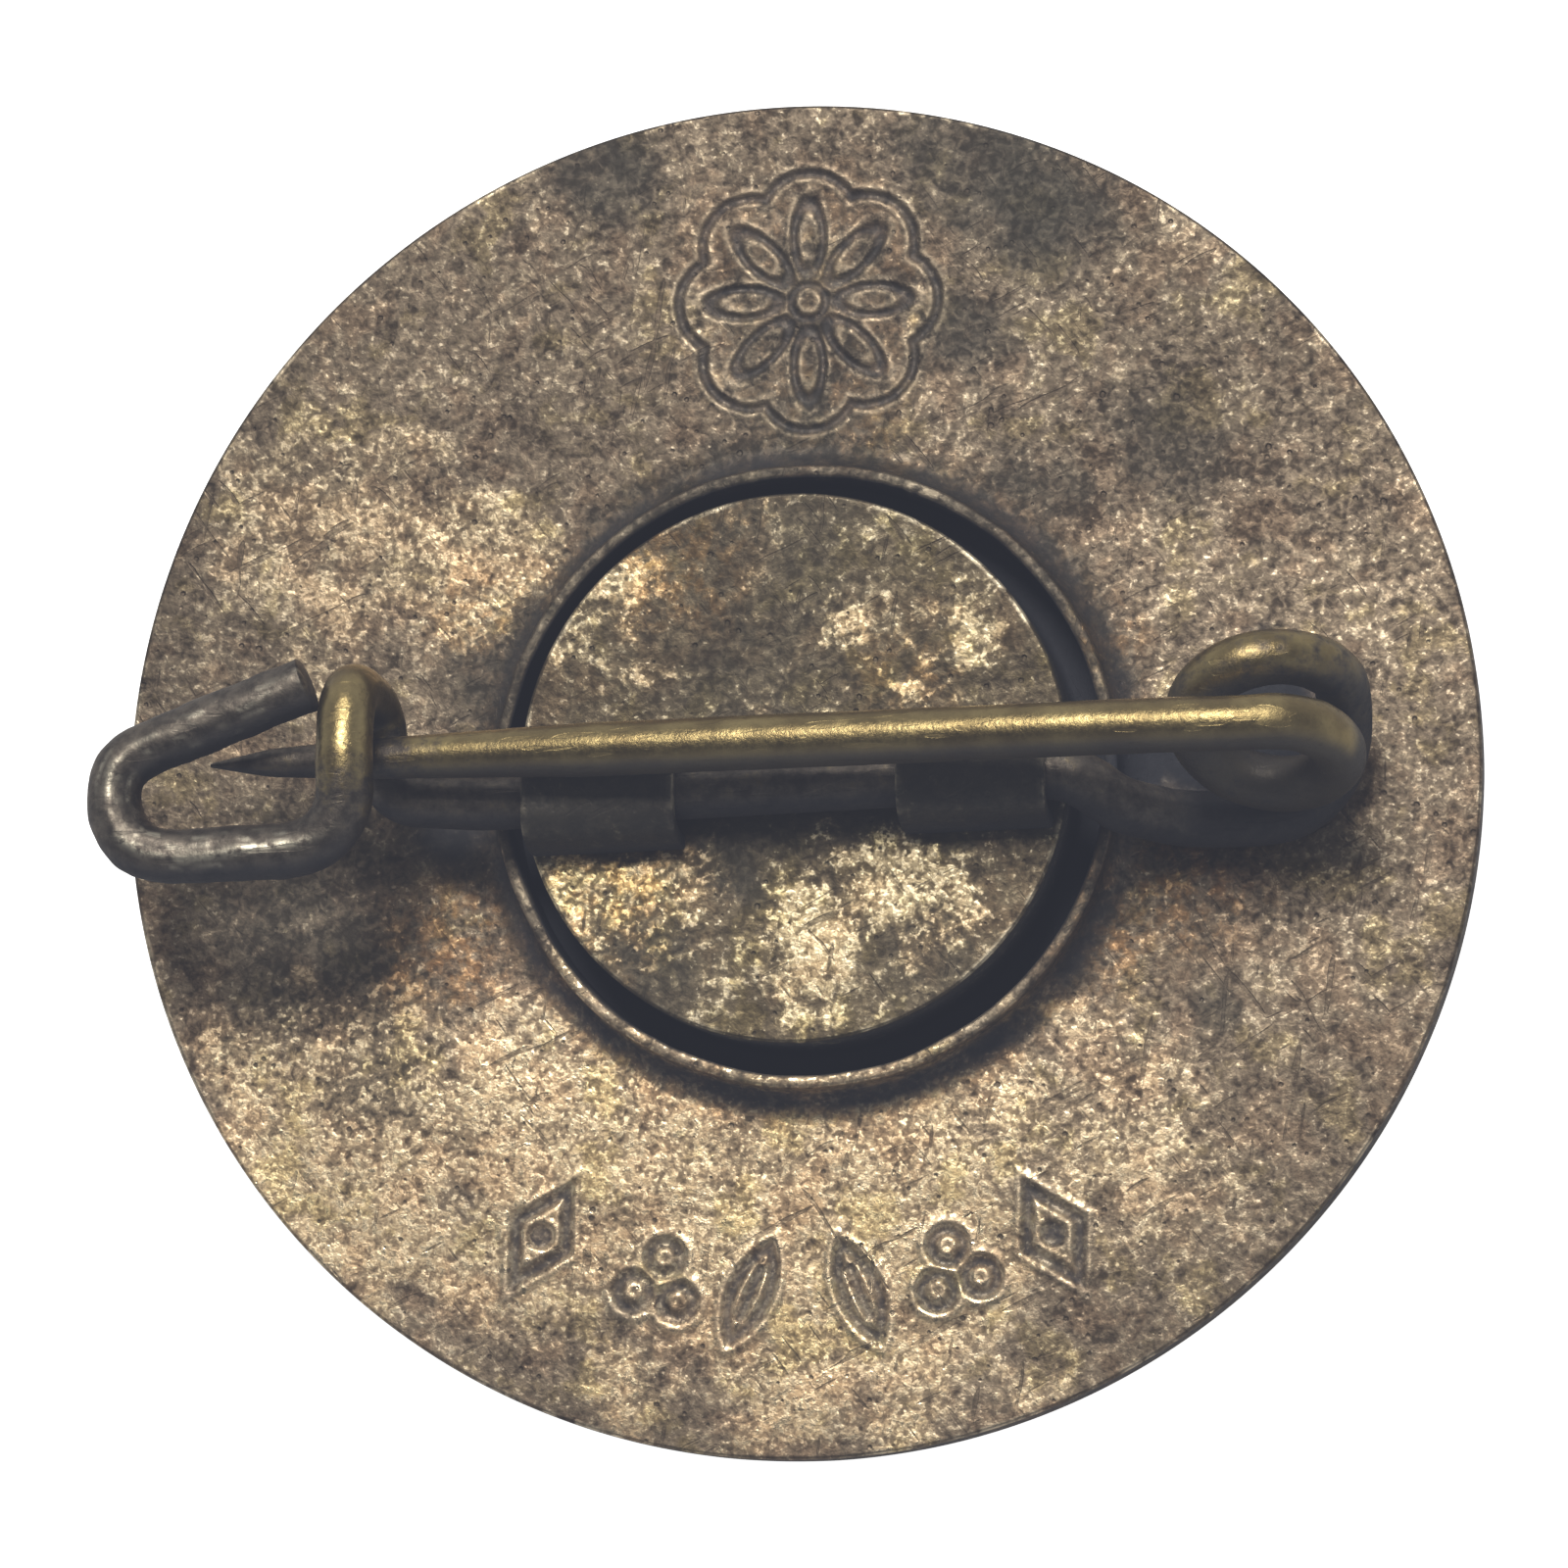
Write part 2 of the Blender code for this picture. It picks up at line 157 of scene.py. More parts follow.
def mesh_object(name, points, faces, attributes=None):
    """A closed mesh with outward faces and smooth shading, and named values on its points."""
    mesh = bpy.data.meshes.new(name)
    mesh.from_pydata(np.asarray(points).tolist(), [], faces)
    bm = bmesh.new()
    bm.from_mesh(mesh)
    bmesh.ops.recalc_face_normals(bm, faces=bm.faces)
    bm.to_mesh(mesh)
    bm.free()
    for key, values in (attributes or {}).items():
        layer = mesh.attributes.new(key, "FLOAT", "POINT")
        layer.data.foreach_set("value", np.asarray(values, np.float32))
    mesh.shade_smooth()
    obj = bpy.data.objects.new(name, mesh)
    bpy.context.scene.collection.objects.link(obj)
    return obj


def skin(name, rows, masks=None, wrap=False, sharp_deg=50.0):
    """A closed skin over rows of points. Wrapped rows join last to first; others end in a fan."""
    rows = np.asarray(rows)
    count, around = rows.shape[:2]
    index = np.arange(count * around).reshape(count, around)
    low = index if wrap else index[:-1]
    high = np.roll(index, -1, axis=0) if wrap else index[1:]
    quads = np.stack([low, np.roll(low, -1, 1), np.roll(high, -1, 1), high], axis=-1)
    points = rows.reshape(-1, 3)
    faces = quads.reshape(-1, 4).tolist()
    layers = {key: np.asarray(mask).reshape(-1) for key, mask in (masks or {}).items()}
    if not wrap:
        for ring in (index[0], index[-1]):
            hub = len(points)
            points = np.vstack([points, points[ring].mean(axis=0)])
            layers = {key: np.append(mask, mask[ring].mean()) for key, mask in layers.items()}
            faces += [[int(a), int(b), hub] for a, b in zip(ring, np.roll(ring, -1))]
    obj = mesh_object(name, points, faces, layers)
    obj.data.set_sharp_from_angle(angle=math.radians(sharp_deg))
    return obj


def dress(piece, material, node=None, body="badge"):
    """Gives a piece its material, the CAD node it redraws and the body it rides on."""
    piece.data.materials.append(material)
    if body:
        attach(piece, body)
    if node:
        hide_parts(node)
    return piece


def lathe(profile, angles, centre=(0.0, 0.0)):
    """A profile turned about Z: its radii, the angles' directions, and all points' xy and z."""
    radii, heights = np.array(profile).T
    around = np.stack([np.cos(angles), np.sin(angles)], axis=-1)
    xy = radii[:, None, None] * around[None] + np.array(centre)
    return radii, around, xy, np.repeat(heights[:, None], len(angles), axis=1)


def full_turn(count):
    """Angles of count even steps round a circle, from zero."""
    return np.linspace(0.0, 2.0 * math.pi, count, endpoint=False)


def arc(centre, radius, start_deg, end_deg, steps):
    """Points (r, z) along an arc of a lathe profile."""
    angles = np.radians(np.linspace(start_deg, end_deg, steps + 1))
    return [(centre[0] + radius * math.cos(a), centre[1] + radius * math.sin(a)) for a in angles]


def fractal(points, scale, octaves=3, seed=0.0):
    """Fractal noise in about -1..1 at each point, with scale features to a millimetre."""
    points = np.asarray(points)
    shift = Vector((seed, -seed, 2.0 * seed))
    places = [Vector(p) * (scale / MM) + shift for p in points.reshape(-1, 3)]
    values = np.array([noise.fractal(place, 1.0, 2.0, octaves) for place in places])
    return values.reshape(points.shape[:-1])


def smooth_step(values, low, high):
    """Values eased from 0 at low to 1 at high."""
    t = np.clip((values - low) / (high - low), 0.0, 1.0)
    return t * t * (3.0 - 2.0 * t)


# ---------------------------------------------------------------- materials


class Nodes:
    """Adds and links nodes of a material or world. Values are numbers, colours or sockets."""

    def __init__(self, owner, surface):
        owner.use_nodes = True
        self.owner = owner
        self.tree = owner.node_tree
        self.surface = self.tree.nodes[surface]

    def put(self, socket, value):
        """Links a socket to the input, or sets its default value."""
        if isinstance(value, bpy.types.NodeSocket):
            self.tree.links.new(value, socket)
        elif isinstance(value, tuple) and len(value) == 3 and socket.type == "RGBA":
            socket.default_value = (*value, 1.0)
        else:
            socket.default_value = value

    def set(self, name, value):
        """Puts a value in the surface's input of that name."""
        self.put(self.surface.inputs[name], value)

    def node(self, kind, **values):
        """A new node with values put in its inputs of those names."""
        node = self.tree.nodes.new("ShaderNode" + kind)
        for name, value in values.items():
            self.put(node.inputs[name], value)
        return node

    def math(self, operation, *values, clamp=False):
        node = self.node("Math")
        node.operation = operation
        node.use_clamp = clamp
        for socket, value in zip(node.inputs, values):
            self.put(socket, value)
        return node.outputs[0]

    def times(self, first, second, clamp=False):
        return self.math("MULTIPLY", first, second, clamp=clamp)

    def add(self, total, weight, value, clamp=False):
        """Total with weight times value added."""
        return self.math("MULTIPLY_ADD", value, weight, total, clamp=clamp)

    def about_zero(self, value):
        return self.math("SUBTRACT", value, 0.5)

    def ramp(self, value, low, high, to_low=0.0, to_high=1.0, way="SMOOTHSTEP"):
        """Value from low..high mapped to to_low..to_high, and held beyond."""
        node = self.node("MapRange")
        node.interpolation_type = way
        for socket, number in zip(node.inputs, (value, low, high, to_low, to_high)):
            self.put(socket, number)
        return node.outputs[0]


class Shader(Nodes):
    """The nodes of one material, with its patterns placed in millimetres on the object."""

    def __init__(self, name):
        super().__init__(bpy.data.materials.new(name), "Principled BSDF")
        in_mm = self.node("VectorMath")
        in_mm.operation = "SCALE"
        self.put(in_mm.inputs[0], self.node("TexCoord").outputs["Object"])
        self.put(in_mm.inputs["Scale"], 1.0 / MM)
        self.place = in_mm.outputs[0]

    def noise(self, scale, detail=3.0, roughness=0.6, distortion=0.0, place=None):
        """Noise in 0..1 with scale features to a millimetre."""
        node = self.node("TexNoise", Vector=place or self.place, Scale=scale, Detail=detail,
                         Roughness=roughness, Distortion=distortion)
        return node.outputs[0]

    def cells(self, scale):
        """Distance to scattered points, with scale points to a millimetre."""
        return self.node("TexVoronoi", Vector=self.place, Scale=scale).outputs["Distance"]

    def turned_place(self, angle_deg, stretch):
        """Coordinates turned about Z and stretched, so that noise draws streaks along X."""
        node = self.node("Mapping", Vector=self.place, Scale=(stretch, 1.0, 1.0),
                         Rotation=(0.0, 0.0, math.radians(angle_deg)))
        node.vector_type = "TEXTURE"
        return node.outputs[0]

    def mask(self, name):
        node = self.node("Attribute")
        node.attribute_name = name
        return node.outputs["Fac"]

    def mix(self, factor, first, second, blend="MIX"):
        node = self.node("Mix")
        node.data_type = "RGBA"
        node.blend_type = blend
        self.put(node.inputs["Factor"], factor)
        self.put(node.inputs[6], first)
        self.put(node.inputs[7], second)
        return node.outputs[2]

    def bump(self, layers):
        """Stacks (height, depth in metres) layers into one bumped normal."""
        normal = None
        for height, depth in layers:
            node = self.node("Bump", Height=height, Distance=depth)
            if normal is not None:
                self.put(node.inputs["Normal"], normal)
            normal = node.outputs[0]
        self.set("Normal", normal)

    def finish(self, colour, roughness, metallic):
        self.set("Base Color", colour)
        self.set("Roughness", roughness)
        self.set("Metallic", metallic)
        return self.owner


def scratches(shader, angle_deg, density, scale=6.0):
    """Thin straight hairlines in one direction, 0..1. A higher density draws more of them."""
    place = shader.turned_place(angle_deg, 7.0)
    streak = shader.noise(scale, detail=1.0, roughness=0.4, place=place)
    return shader.ramp(streak, 0.74 - density, 0.78 - density)


def plated_metal(name, dark, middle, light, glint, flake=0.6, grain=1.0):
    """Tarnished silver plate on brass: grainy and mottled, with stains and glints.

    Masks on the mesh: one lifts the colour as painted sheen and brighter plating, one darkens it
    as painted shade, one blackens it with stains and painted shadow, one shows the red
    underlayer, one fills hollows with grime and paints shade in recesses and on shaded sides,
    and one polishes edges as rubbed metal with painted highlights.
    """
    s = Shader(name)
    broad = s.noise(0.35, detail=5.0, roughness=0.62, distortion=0.5)
    blotch = s.noise(1.1, detail=5.0, roughness=0.62, distortion=0.4)
    mottle = s.noise(3.4, detail=4.0, roughness=0.65)
    crystal = s.noise(6.6, detail=2.5, roughness=0.55, distortion=0.5)
    speck = s.noise(11.0, detail=2.0, roughness=0.5)
    pits = s.cells(3.0)

    sheen_and_plating, stain_and_shadow = s.mask("sheen_and_plating"), s.mask("stain_and_shadow")
    ragged = s.add(sheen_and_plating, flake, s.about_zero(mottle))
    ragged = s.add(ragged, flake, s.about_zero(blotch))
    bright = s.ramp(ragged, 0.15, 0.75)
    tone = s.add(0.46, 0.26, bright)
    tone = s.add(tone, -0.20, stain_and_shadow)
    for layer, weight in ((broad, 0.45), (blotch, 0.80), (mottle, 0.80)):
        tone = s.add(tone, weight, s.about_zero(layer))
    calm = s.add(grain, -0.30 * grain, s.mask("shade"))
    calm = s.times(calm, s.add(0.80, 0.60, bright))
    for layer, weight in ((crystal, 1.25), (speck, 0.55)):
        layer = s.times(s.about_zero(layer), calm)
        tone = s.add(tone, weight, layer)
    colour = s.mix(s.ramp(tone, 0.14, 0.54), dark, middle)
    colour = s.mix(s.ramp(tone, 0.48, 0.84), colour, light)
    shine = s.add(speck, 0.42, s.about_zero(tone))
    shine = s.times(s.ramp(shine, 0.62, 0.74), calm)
    colour = s.mix(s.times(shine, 0.65), colour, glint)

    # Painted sheen: where the sheet is painted as more brightly lit, and on brighter plating, the
    # colour is lifted further
    colour = s.mix(bright, colour, (1.22, 1.18, 1.08), "MULTIPLY")
    # Painted shade: the colour is darkened where less light falls on the sheet
    colour = s.mix(s.mask("shade"), colour, (0.50, 0.51, 0.52), "MULTIPLY")

    tint = s.noise(0.9, detail=4.0, roughness=0.6)
    rosy = s.mix(1.0, colour, (1.05, 0.98, 0.94), "MULTIPLY")
    olive = s.mix(1.0, colour, (1.00, 0.99, 0.84), "MULTIPLY")
    colour = s.mix(s.ramp(tint, 0.50, 0.62), colour, rosy)
    colour = s.mix(s.ramp(tint, 0.36, 0.47, 1.0, 0.0), colour, olive)
    copper_tint = s.mix(1.0, colour, (1.17, 0.91, 0.67), "MULTIPLY")
    copper = s.times(s.mask("copper"), s.ramp(mottle, 0.40, 0.62), clamp=True)
    colour = s.mix(copper, colour, copper_tint)

    hole = s.ramp(s.add(pits, 0.45, blotch), 0.26, 0.36, 1.0, 0.0)
    hairs = s.math("MAXIMUM", scratches(s, 28.0, 0.06), scratches(s, -52.0, 0.05))
    hairs = s.math("MAXIMUM", hairs, scratches(s, 81.0, 0.05))
    hairs = s.times(hairs, s.ramp(broad, 0.42, 0.60))
    etch = s.noise(4.2, detail=1.5, roughness=0.5, distortion=1.2)
    etch = s.ramp(s.math("ABSOLUTE", s.about_zero(etch)), 0.004, 0.040, 1.0, 0.0)
    etch = s.times(etch, s.ramp(crystal, 0.36, 0.56))
    for marks, strength in ((hole, 0.85), (hairs, 0.60), (etch, 0.45)):
        colour = s.mix(s.times(marks, strength), colour, dark)

    # Stains take this dark colour, and so do the painted shadow under the catch's loop and the
    # painted shade on the straps
    sulphide_and_shadow = s.mix(mottle, (0.050, 0.049, 0.043), (0.115, 0.105, 0.083))
    colour = s.mix(s.times(stain_and_shadow, 0.55), colour, sulphide_and_shadow)
    # Painted shade with some grime: recesses, shaded slopes and sides, and places under the wire
    # are painted bluish dark; struck lines hold real grime
    dirt_and_shade = s.mask("dirt_and_shade")
    colour = s.mix(dirt_and_shade, colour, (0.034, 0.035, 0.041))
    # Rubbed metal with painted highlights: the glint colour is painted on crests, edges and lips
    worn_and_highlit = s.times(s.mask("wear_and_highlight"), s.ramp(mottle, 0.36, 0.60))
    colour = s.mix(worn_and_highlit, colour, glint)

    rough = s.ramp(crystal, 0.30, 0.70, 0.60, 0.42)
    rough = s.add(rough, -0.12, shine)
    rough = s.add(rough, 0.16, s.math("MAXIMUM", stain_and_shadow, dirt_and_shade))
    rough = s.add(rough, -0.20, worn_and_highlit, clamp=True)
    metal = s.add(1.0, -0.85, dirt_and_shade, clamp=True)
    s.set("Specular IOR Level", s.add(0.5, -0.45, dirt_and_shade))
    s.bump([
        (blotch, 0.020 * MM),
        (mottle, 0.014 * MM),
        (crystal, 0.008 * MM),
        (hole, -0.010 * MM),
        (hairs, -0.005 * MM),
    ])
    return s.finish(colour, rough, metal)


def aged_wire(name):
    """Brass wire whose dull grey plating is rubbed through where the mask named brass is high, with
    painted shade and painted highlights.
    """
    s = Shader(name)
    along = s.noise(1.1, detail=4.0, roughness=0.6)
    patch = s.noise(3.6, detail=4.0, roughness=0.65)
    fine = s.noise(13.0, detail=3.0, roughness=0.7)
    brass_here = s.add(s.mask("brass"), 0.9, s.about_zero(patch))
    brass_here = s.ramp(brass_here, 0.30, 0.62)
    plating = s.mix(s.ramp(patch, 0.30, 0.70), (0.062, 0.052, 0.043), (0.150, 0.127, 0.102))
    brass = s.mix(s.ramp(along, 0.30, 0.70), (0.165, 0.122, 0.054), (0.300, 0.232, 0.104))
    colour = s.mix(brass_here, plating, brass)
    freckle = s.ramp(fine, 0.60, 0.76)
    colour = s.mix(s.times(freckle, 0.30), colour, (0.040, 0.037, 0.034))
    worn_and_highlit = s.times(s.mask("wear_and_highlight"), s.ramp(s.noise(5.0, detail=4.0), 0.34, 0.52))
    # Rubbed bright metal with painted highlights along the catch
    colour = s.mix(worn_and_highlit, colour, (0.57, 0.52, 0.41))
    # Painted shade: the wire's underside, its side away from the light, its parts near the plate
    # and the coil's lower turn are painted bluish dark
    dirt_and_shade = s.mask("dirt_and_shade")
    colour = s.mix(dirt_and_shade, colour, (0.036, 0.036, 0.041))
    lines = scratches(s, 2.0, 0.12, scale=7.0)
    rough = s.ramp(fine, 0.3, 0.7, 0.28, 0.40)
    rough = s.add(rough, 0.20, dirt_and_shade)
    rough = s.add(rough, 0.16, s.math("SUBTRACT", 1.0, brass_here))
    rough = s.add(rough, -0.14, worn_and_highlit)
    rough = s.add(rough, 0.10, lines, clamp=True)
    s.set("Specular IOR Level", s.add(0.5, -0.40, dirt_and_shade))
    s.bump([(patch, 0.012 * MM), (fine, 0.006 * MM), (lines, -0.003 * MM)])
    return s.finish(colour, rough, s.add(1.0, -0.60, dirt_and_shade))


def fired_enamel(name, deep, pale):
    """Glossy enamel with faint clouds, a few bubbles and a slightly uneven surface."""
    s = Shader(name)
    cloud = s.noise(0.6, detail=4.0, roughness=0.6, distortion=0.8)
    bubble = s.ramp(s.cells(1.7), 0.03, 0.07, 1.0, 0.0)
    colour = s.mix(s.ramp(cloud, 0.30, 0.70), deep, pale)
    colour = s.mix(s.times(bubble, 0.45), colour, (0.03, 0.03, 0.03))
    s.set("Coat Weight", 0.6)
    s.set("Coat Roughness", 0.06)
    s.bump([(s.noise(1.2, detail=2.0), 0.010 * MM), (bubble, -0.008 * MM)])
    return s.finish(colour, s.ramp(cloud, 0.2, 0.8, 0.10, 0.22), 0.0)


# ---------------------------------------------------------------- struck ornament


def fold(angle, count):
    """Angle folded into one of count equal sectors, centred on zero."""
    sector = 2.0 * math.pi / count
    return (angle + sector / 2.0) % sector - sector / 2.0


def rosette_distance(x, y):
    """Distance in mm from the lines of an eight-petal rosette about 2.2 mm in radius."""
    radius = np.hypot(x, y)
    petal_angle = fold(np.arctan2(y, x), 8)
    px, py = radius * np.cos(petal_angle), radius * np.sin(petal_angle)
    scallop = np.abs(np.hypot(px - 1.38, py) - 0.84)
    scallop = np.where(radius > 1.70, scallop, 9.0)
    petal = np.abs(np.hypot((px - 1.10) / 0.60, py / 0.25) - 1.0) * 0.30
    hub = np.abs(radius - 0.30)
    return np.minimum(np.minimum(scallop, petal), hub)


def lozenge_distance(u, v):
    """Distance from an upright lozenge with a dot in it."""
    outline = np.abs(np.abs(u) / 0.50 + np.abs(v) / 0.86 - 1.0) * 0.43
    dot = np.maximum(np.hypot(u, v) - 0.12, 0.0)
    return np.minimum(outline, dot)


def trefoil_distance(u, v):
    """Distance from three small rings set in a triangle."""
    distance = np.full_like(u, 9.0)
    for turn in (90.0, 210.0, 330.0):
        cu, cv = 0.44 * math.cos(math.radians(turn)), 0.44 * math.sin(math.radians(turn))
        distance = np.minimum(distance, np.abs(np.hypot(u - cu, v - cv) - 0.27))
    return distance


def leaf_distance(u, v):
    """Distance from a pointed leaf with a midrib."""
    side, height = 1.02, 0.86
    reach = math.hypot(side, height) - 0.02
    outline = np.abs(np.maximum(np.hypot(u - side, v), np.hypot(u + side, v)) - reach)
    rib = np.where(np.abs(v) < 0.5, np.abs(u), 9.0)
    return np.minimum(outline, rib)


STRUCK_ROW = [
    # mark, place (x, y) in mm, lean in degrees, depth share
    (lozenge_distance, (-4.35, -7.72), -31.0, 1.0),
    (trefoil_distance, (-2.35, -8.55), -14.0, 0.8),
    (leaf_distance, (-0.80, -8.72), -24.0, 1.0),
    (leaf_distance, (1.05, -8.72), 22.0, 0.9),
    (trefoil_distance, (2.65, -8.40), 17.0, 1.0),
    (lozenge_distance, (4.30, -7.80), 29.0, 0.9),
]
ROSETTE_PLACE = (0.19, 8.10)
LINE_HALF_WIDTH = 0.060
LINE_DEPTH = 0.040 * MM


def struck_relief(x, y):
    """Height in metres of the struck lines at (x, y) in mm, and shares 0..1 of line and lip."""
    height = np.zeros_like(x)
    inside = np.zeros_like(x)
    lips = np.zeros_like(x)

    def strike(distance, share):
        nonlocal height, inside, lips
        groove = 1.0 - smooth_step(distance, 0.3 * LINE_HALF_WIDTH, 1.5 * LINE_HALF_WIDTH)
        lip = np.exp(-(((distance - 2.1 * LINE_HALF_WIDTH) / (0.8 * LINE_HALF_WIDTH)) ** 2))
        height = height + share * LINE_DEPTH * (0.40 * lip - groove)
        inside = np.maximum(inside, share * groove)
        lips = np.maximum(lips, share * lip)

    dx, dy = x - ROSETTE_PLACE[0], y - ROSETTE_PLACE[1]
    strike(rosette_distance(dx, dy), 0.65)
    dish = 1.0 - smooth_step(np.hypot(dx, dy), 1.9, 2.7)
    height = height - 0.02 * MM * dish
    for mark, (cx, cy), lean_deg, share in STRUCK_ROW:
        lean = math.radians(lean_deg)
        dx, dy = x - cx, y - cy
        u = dx * math.cos(lean) + dy * math.sin(lean)
        v = dy * math.cos(lean) - dx * math.sin(lean)
        strike(0.75 * np.where(np.hypot(u, v) < 1.4, mark(u, v), 9.0), 1.25 * share)
    return height, inside, lips


# ---------------------------------------------------------------- plate, cup and shell


def spots(x, y, places, warp):
    """Soft blotches: places are (x, y, radius, strength) in mm; warp bends their edges."""
    total = np.zeros_like(x)
    for cx, cy, radius, strength in places:
        away = np.hypot(x - cx, y - cy) / radius + 0.45 * warp
        total = np.maximum(total, strength * (1.0 - smooth_step(away, 0.35, 1.50)))
    return total


# Places of soft spots: x, y, radius in mm, strength
PLATE_STAINS_AND_SHADOW = [
    (3.9, 9.8, 1.3, 1.0), (2.6, 10.5, 1.0, 0.6), (-3.3, 10.4, 0.9, 0.8),
    (2.9, 7.5, 0.8, 0.7), (6.1, 5.4, 1.0, 0.5), (-5.4, 1.7, 0.8, 0.8),
    # The spot at -8.2, -2.6 is a painted shadow under the catch's loop
    (-8.2, -2.6, 2.0, 0.8), (-5.6, -0.9, 1.0, 0.7), (-7.3, -4.9, 1.0, 0.6),
    (7.0, -4.1, 0.45, 0.7), (0.2, 6.0, 1.2, 0.6), (4.0, 4.6, 0.9, 0.7),
    (6.9, -1.6, 1.4, 0.35), (0.2, 8.1, 1.9, 0.35),
]
# Places of painted sheen, where the sheet is painted brighter as if more light falls there
PLATE_SHEEN = [
    (-8.0, 4.4, 2.8, 0.5), (-5.6, 3.7, 1.5, 0.8), (-8.0, -6.2, 2.8, 1.0),
    (-3.8, -6.4, 3.0, 1.0), (0.3, -7.2, 4.2, 1.0), (5.4, -6.4, 2.5, 0.5),
]
PLATE_COPPER = [
    (-5.4, 2.8, 1.0, 0.6), (-5.9, -2.7, 1.2, 1.0), (5.2, -2.8, 1.0, 1.0),
    (6.7, -1.9, 1.2, 1.0), (5.0, 1.9, 0.8, 0.9), (0.5, 6.3, 1.4, 0.7),
    (0.2, 8.1, 2.2, 0.5), (0.0, -8.5, 4.0, 0.1),
]
# Places of painted shadow on the plate, under the spring coil and beside the catch
PLATE_PAINTED_SHADOWS = [
    (5.7, 0.0, 0.8, 1.0), (6.7, 0.2, 0.9, 1.0), (7.8, 0.4, 1.2, 1.0),
    (7.9, 1.3, 0.8, 1.0), (8.4, -0.1, 0.9, 0.9), (-5.9, -0.8, 0.7, 0.7),
]


def plate_shade(x, y):
    """Share of painted shade: the sheet is painted darker towards its top and its right side, where
    less light falls on it.
    """
    top = smooth_step(y - 0.35 * x, -1.5, 6.5)
    right = smooth_step(x, 2.0, 8.0)
    low = smooth_step(-y, 4.5, 8.0)
    return np.clip(0.10 + 0.85 * top + 0.28 * right + 0.18 * low, 0.0, 1.0)


def plate_columns():
    """Angles of the plate's columns, closer together where the struck ornament lies."""
    fine_spans = [(66.0, 110.0), (236.0, 304.0)]
    angles = []
    angle = 0.0
    while angle < 360.0 - 1e-6:
        angles.append(angle)
        fine = any(low <= angle < high for low, high in fine_spans)
        angle += RELIEF_STEP_DEG if fine else PLAIN_STEP_DEG
    return np.radians(angles)


def plate_profile():
    """Half section of the sheet: up the hole, over the rolled collar and out to the edge."""
    edge = PLATE_RADIUS - PLATE_EDGE_ROUND
    flat_count = int((edge - COLLAR_FOOT) / RELIEF_STEP)
    crest = []
    for angle in np.radians(np.linspace(180.0, 0.0, 13)):
        across = math.copysign(abs(math.cos(angle)) ** 0.62, math.cos(angle))
        rise = math.sin(angle) ** 0.62
        r = COLLAR_CREST_RADIUS + COLLAR_ROLL * across
        crest.append((r, COLLAR_CREST_Z + COLLAR_ROLL * rise))
    return [
        (HOLE_RADIUS, PLATE_BOTTOM),
        *[(HOLE_RADIUS, z) for z in np.linspace(PLATE_BOTTOM, COLLAR_CREST_Z, 9)[1:-1]],
        *crest,
        *arc((COLLAR_FOOT, DISC_TOP + COLLAR_FLARE), COLLAR_FLARE, 185.0, 268.0, 14),
        *[(r, DISC_TOP) for r in np.linspace(COLLAR_FOOT, edge, flat_count)],
        *arc((edge, DISC_TOP - PLATE_EDGE_ROUND), PLATE_EDGE_ROUND, 75.0, 0.0, 5),
        (PLATE_RADIUS, PLATE_BOTTOM),
        (0.5 * (PLATE_RADIUS + COLLAR_FOOT), PLATE_BOTTOM),
    ]


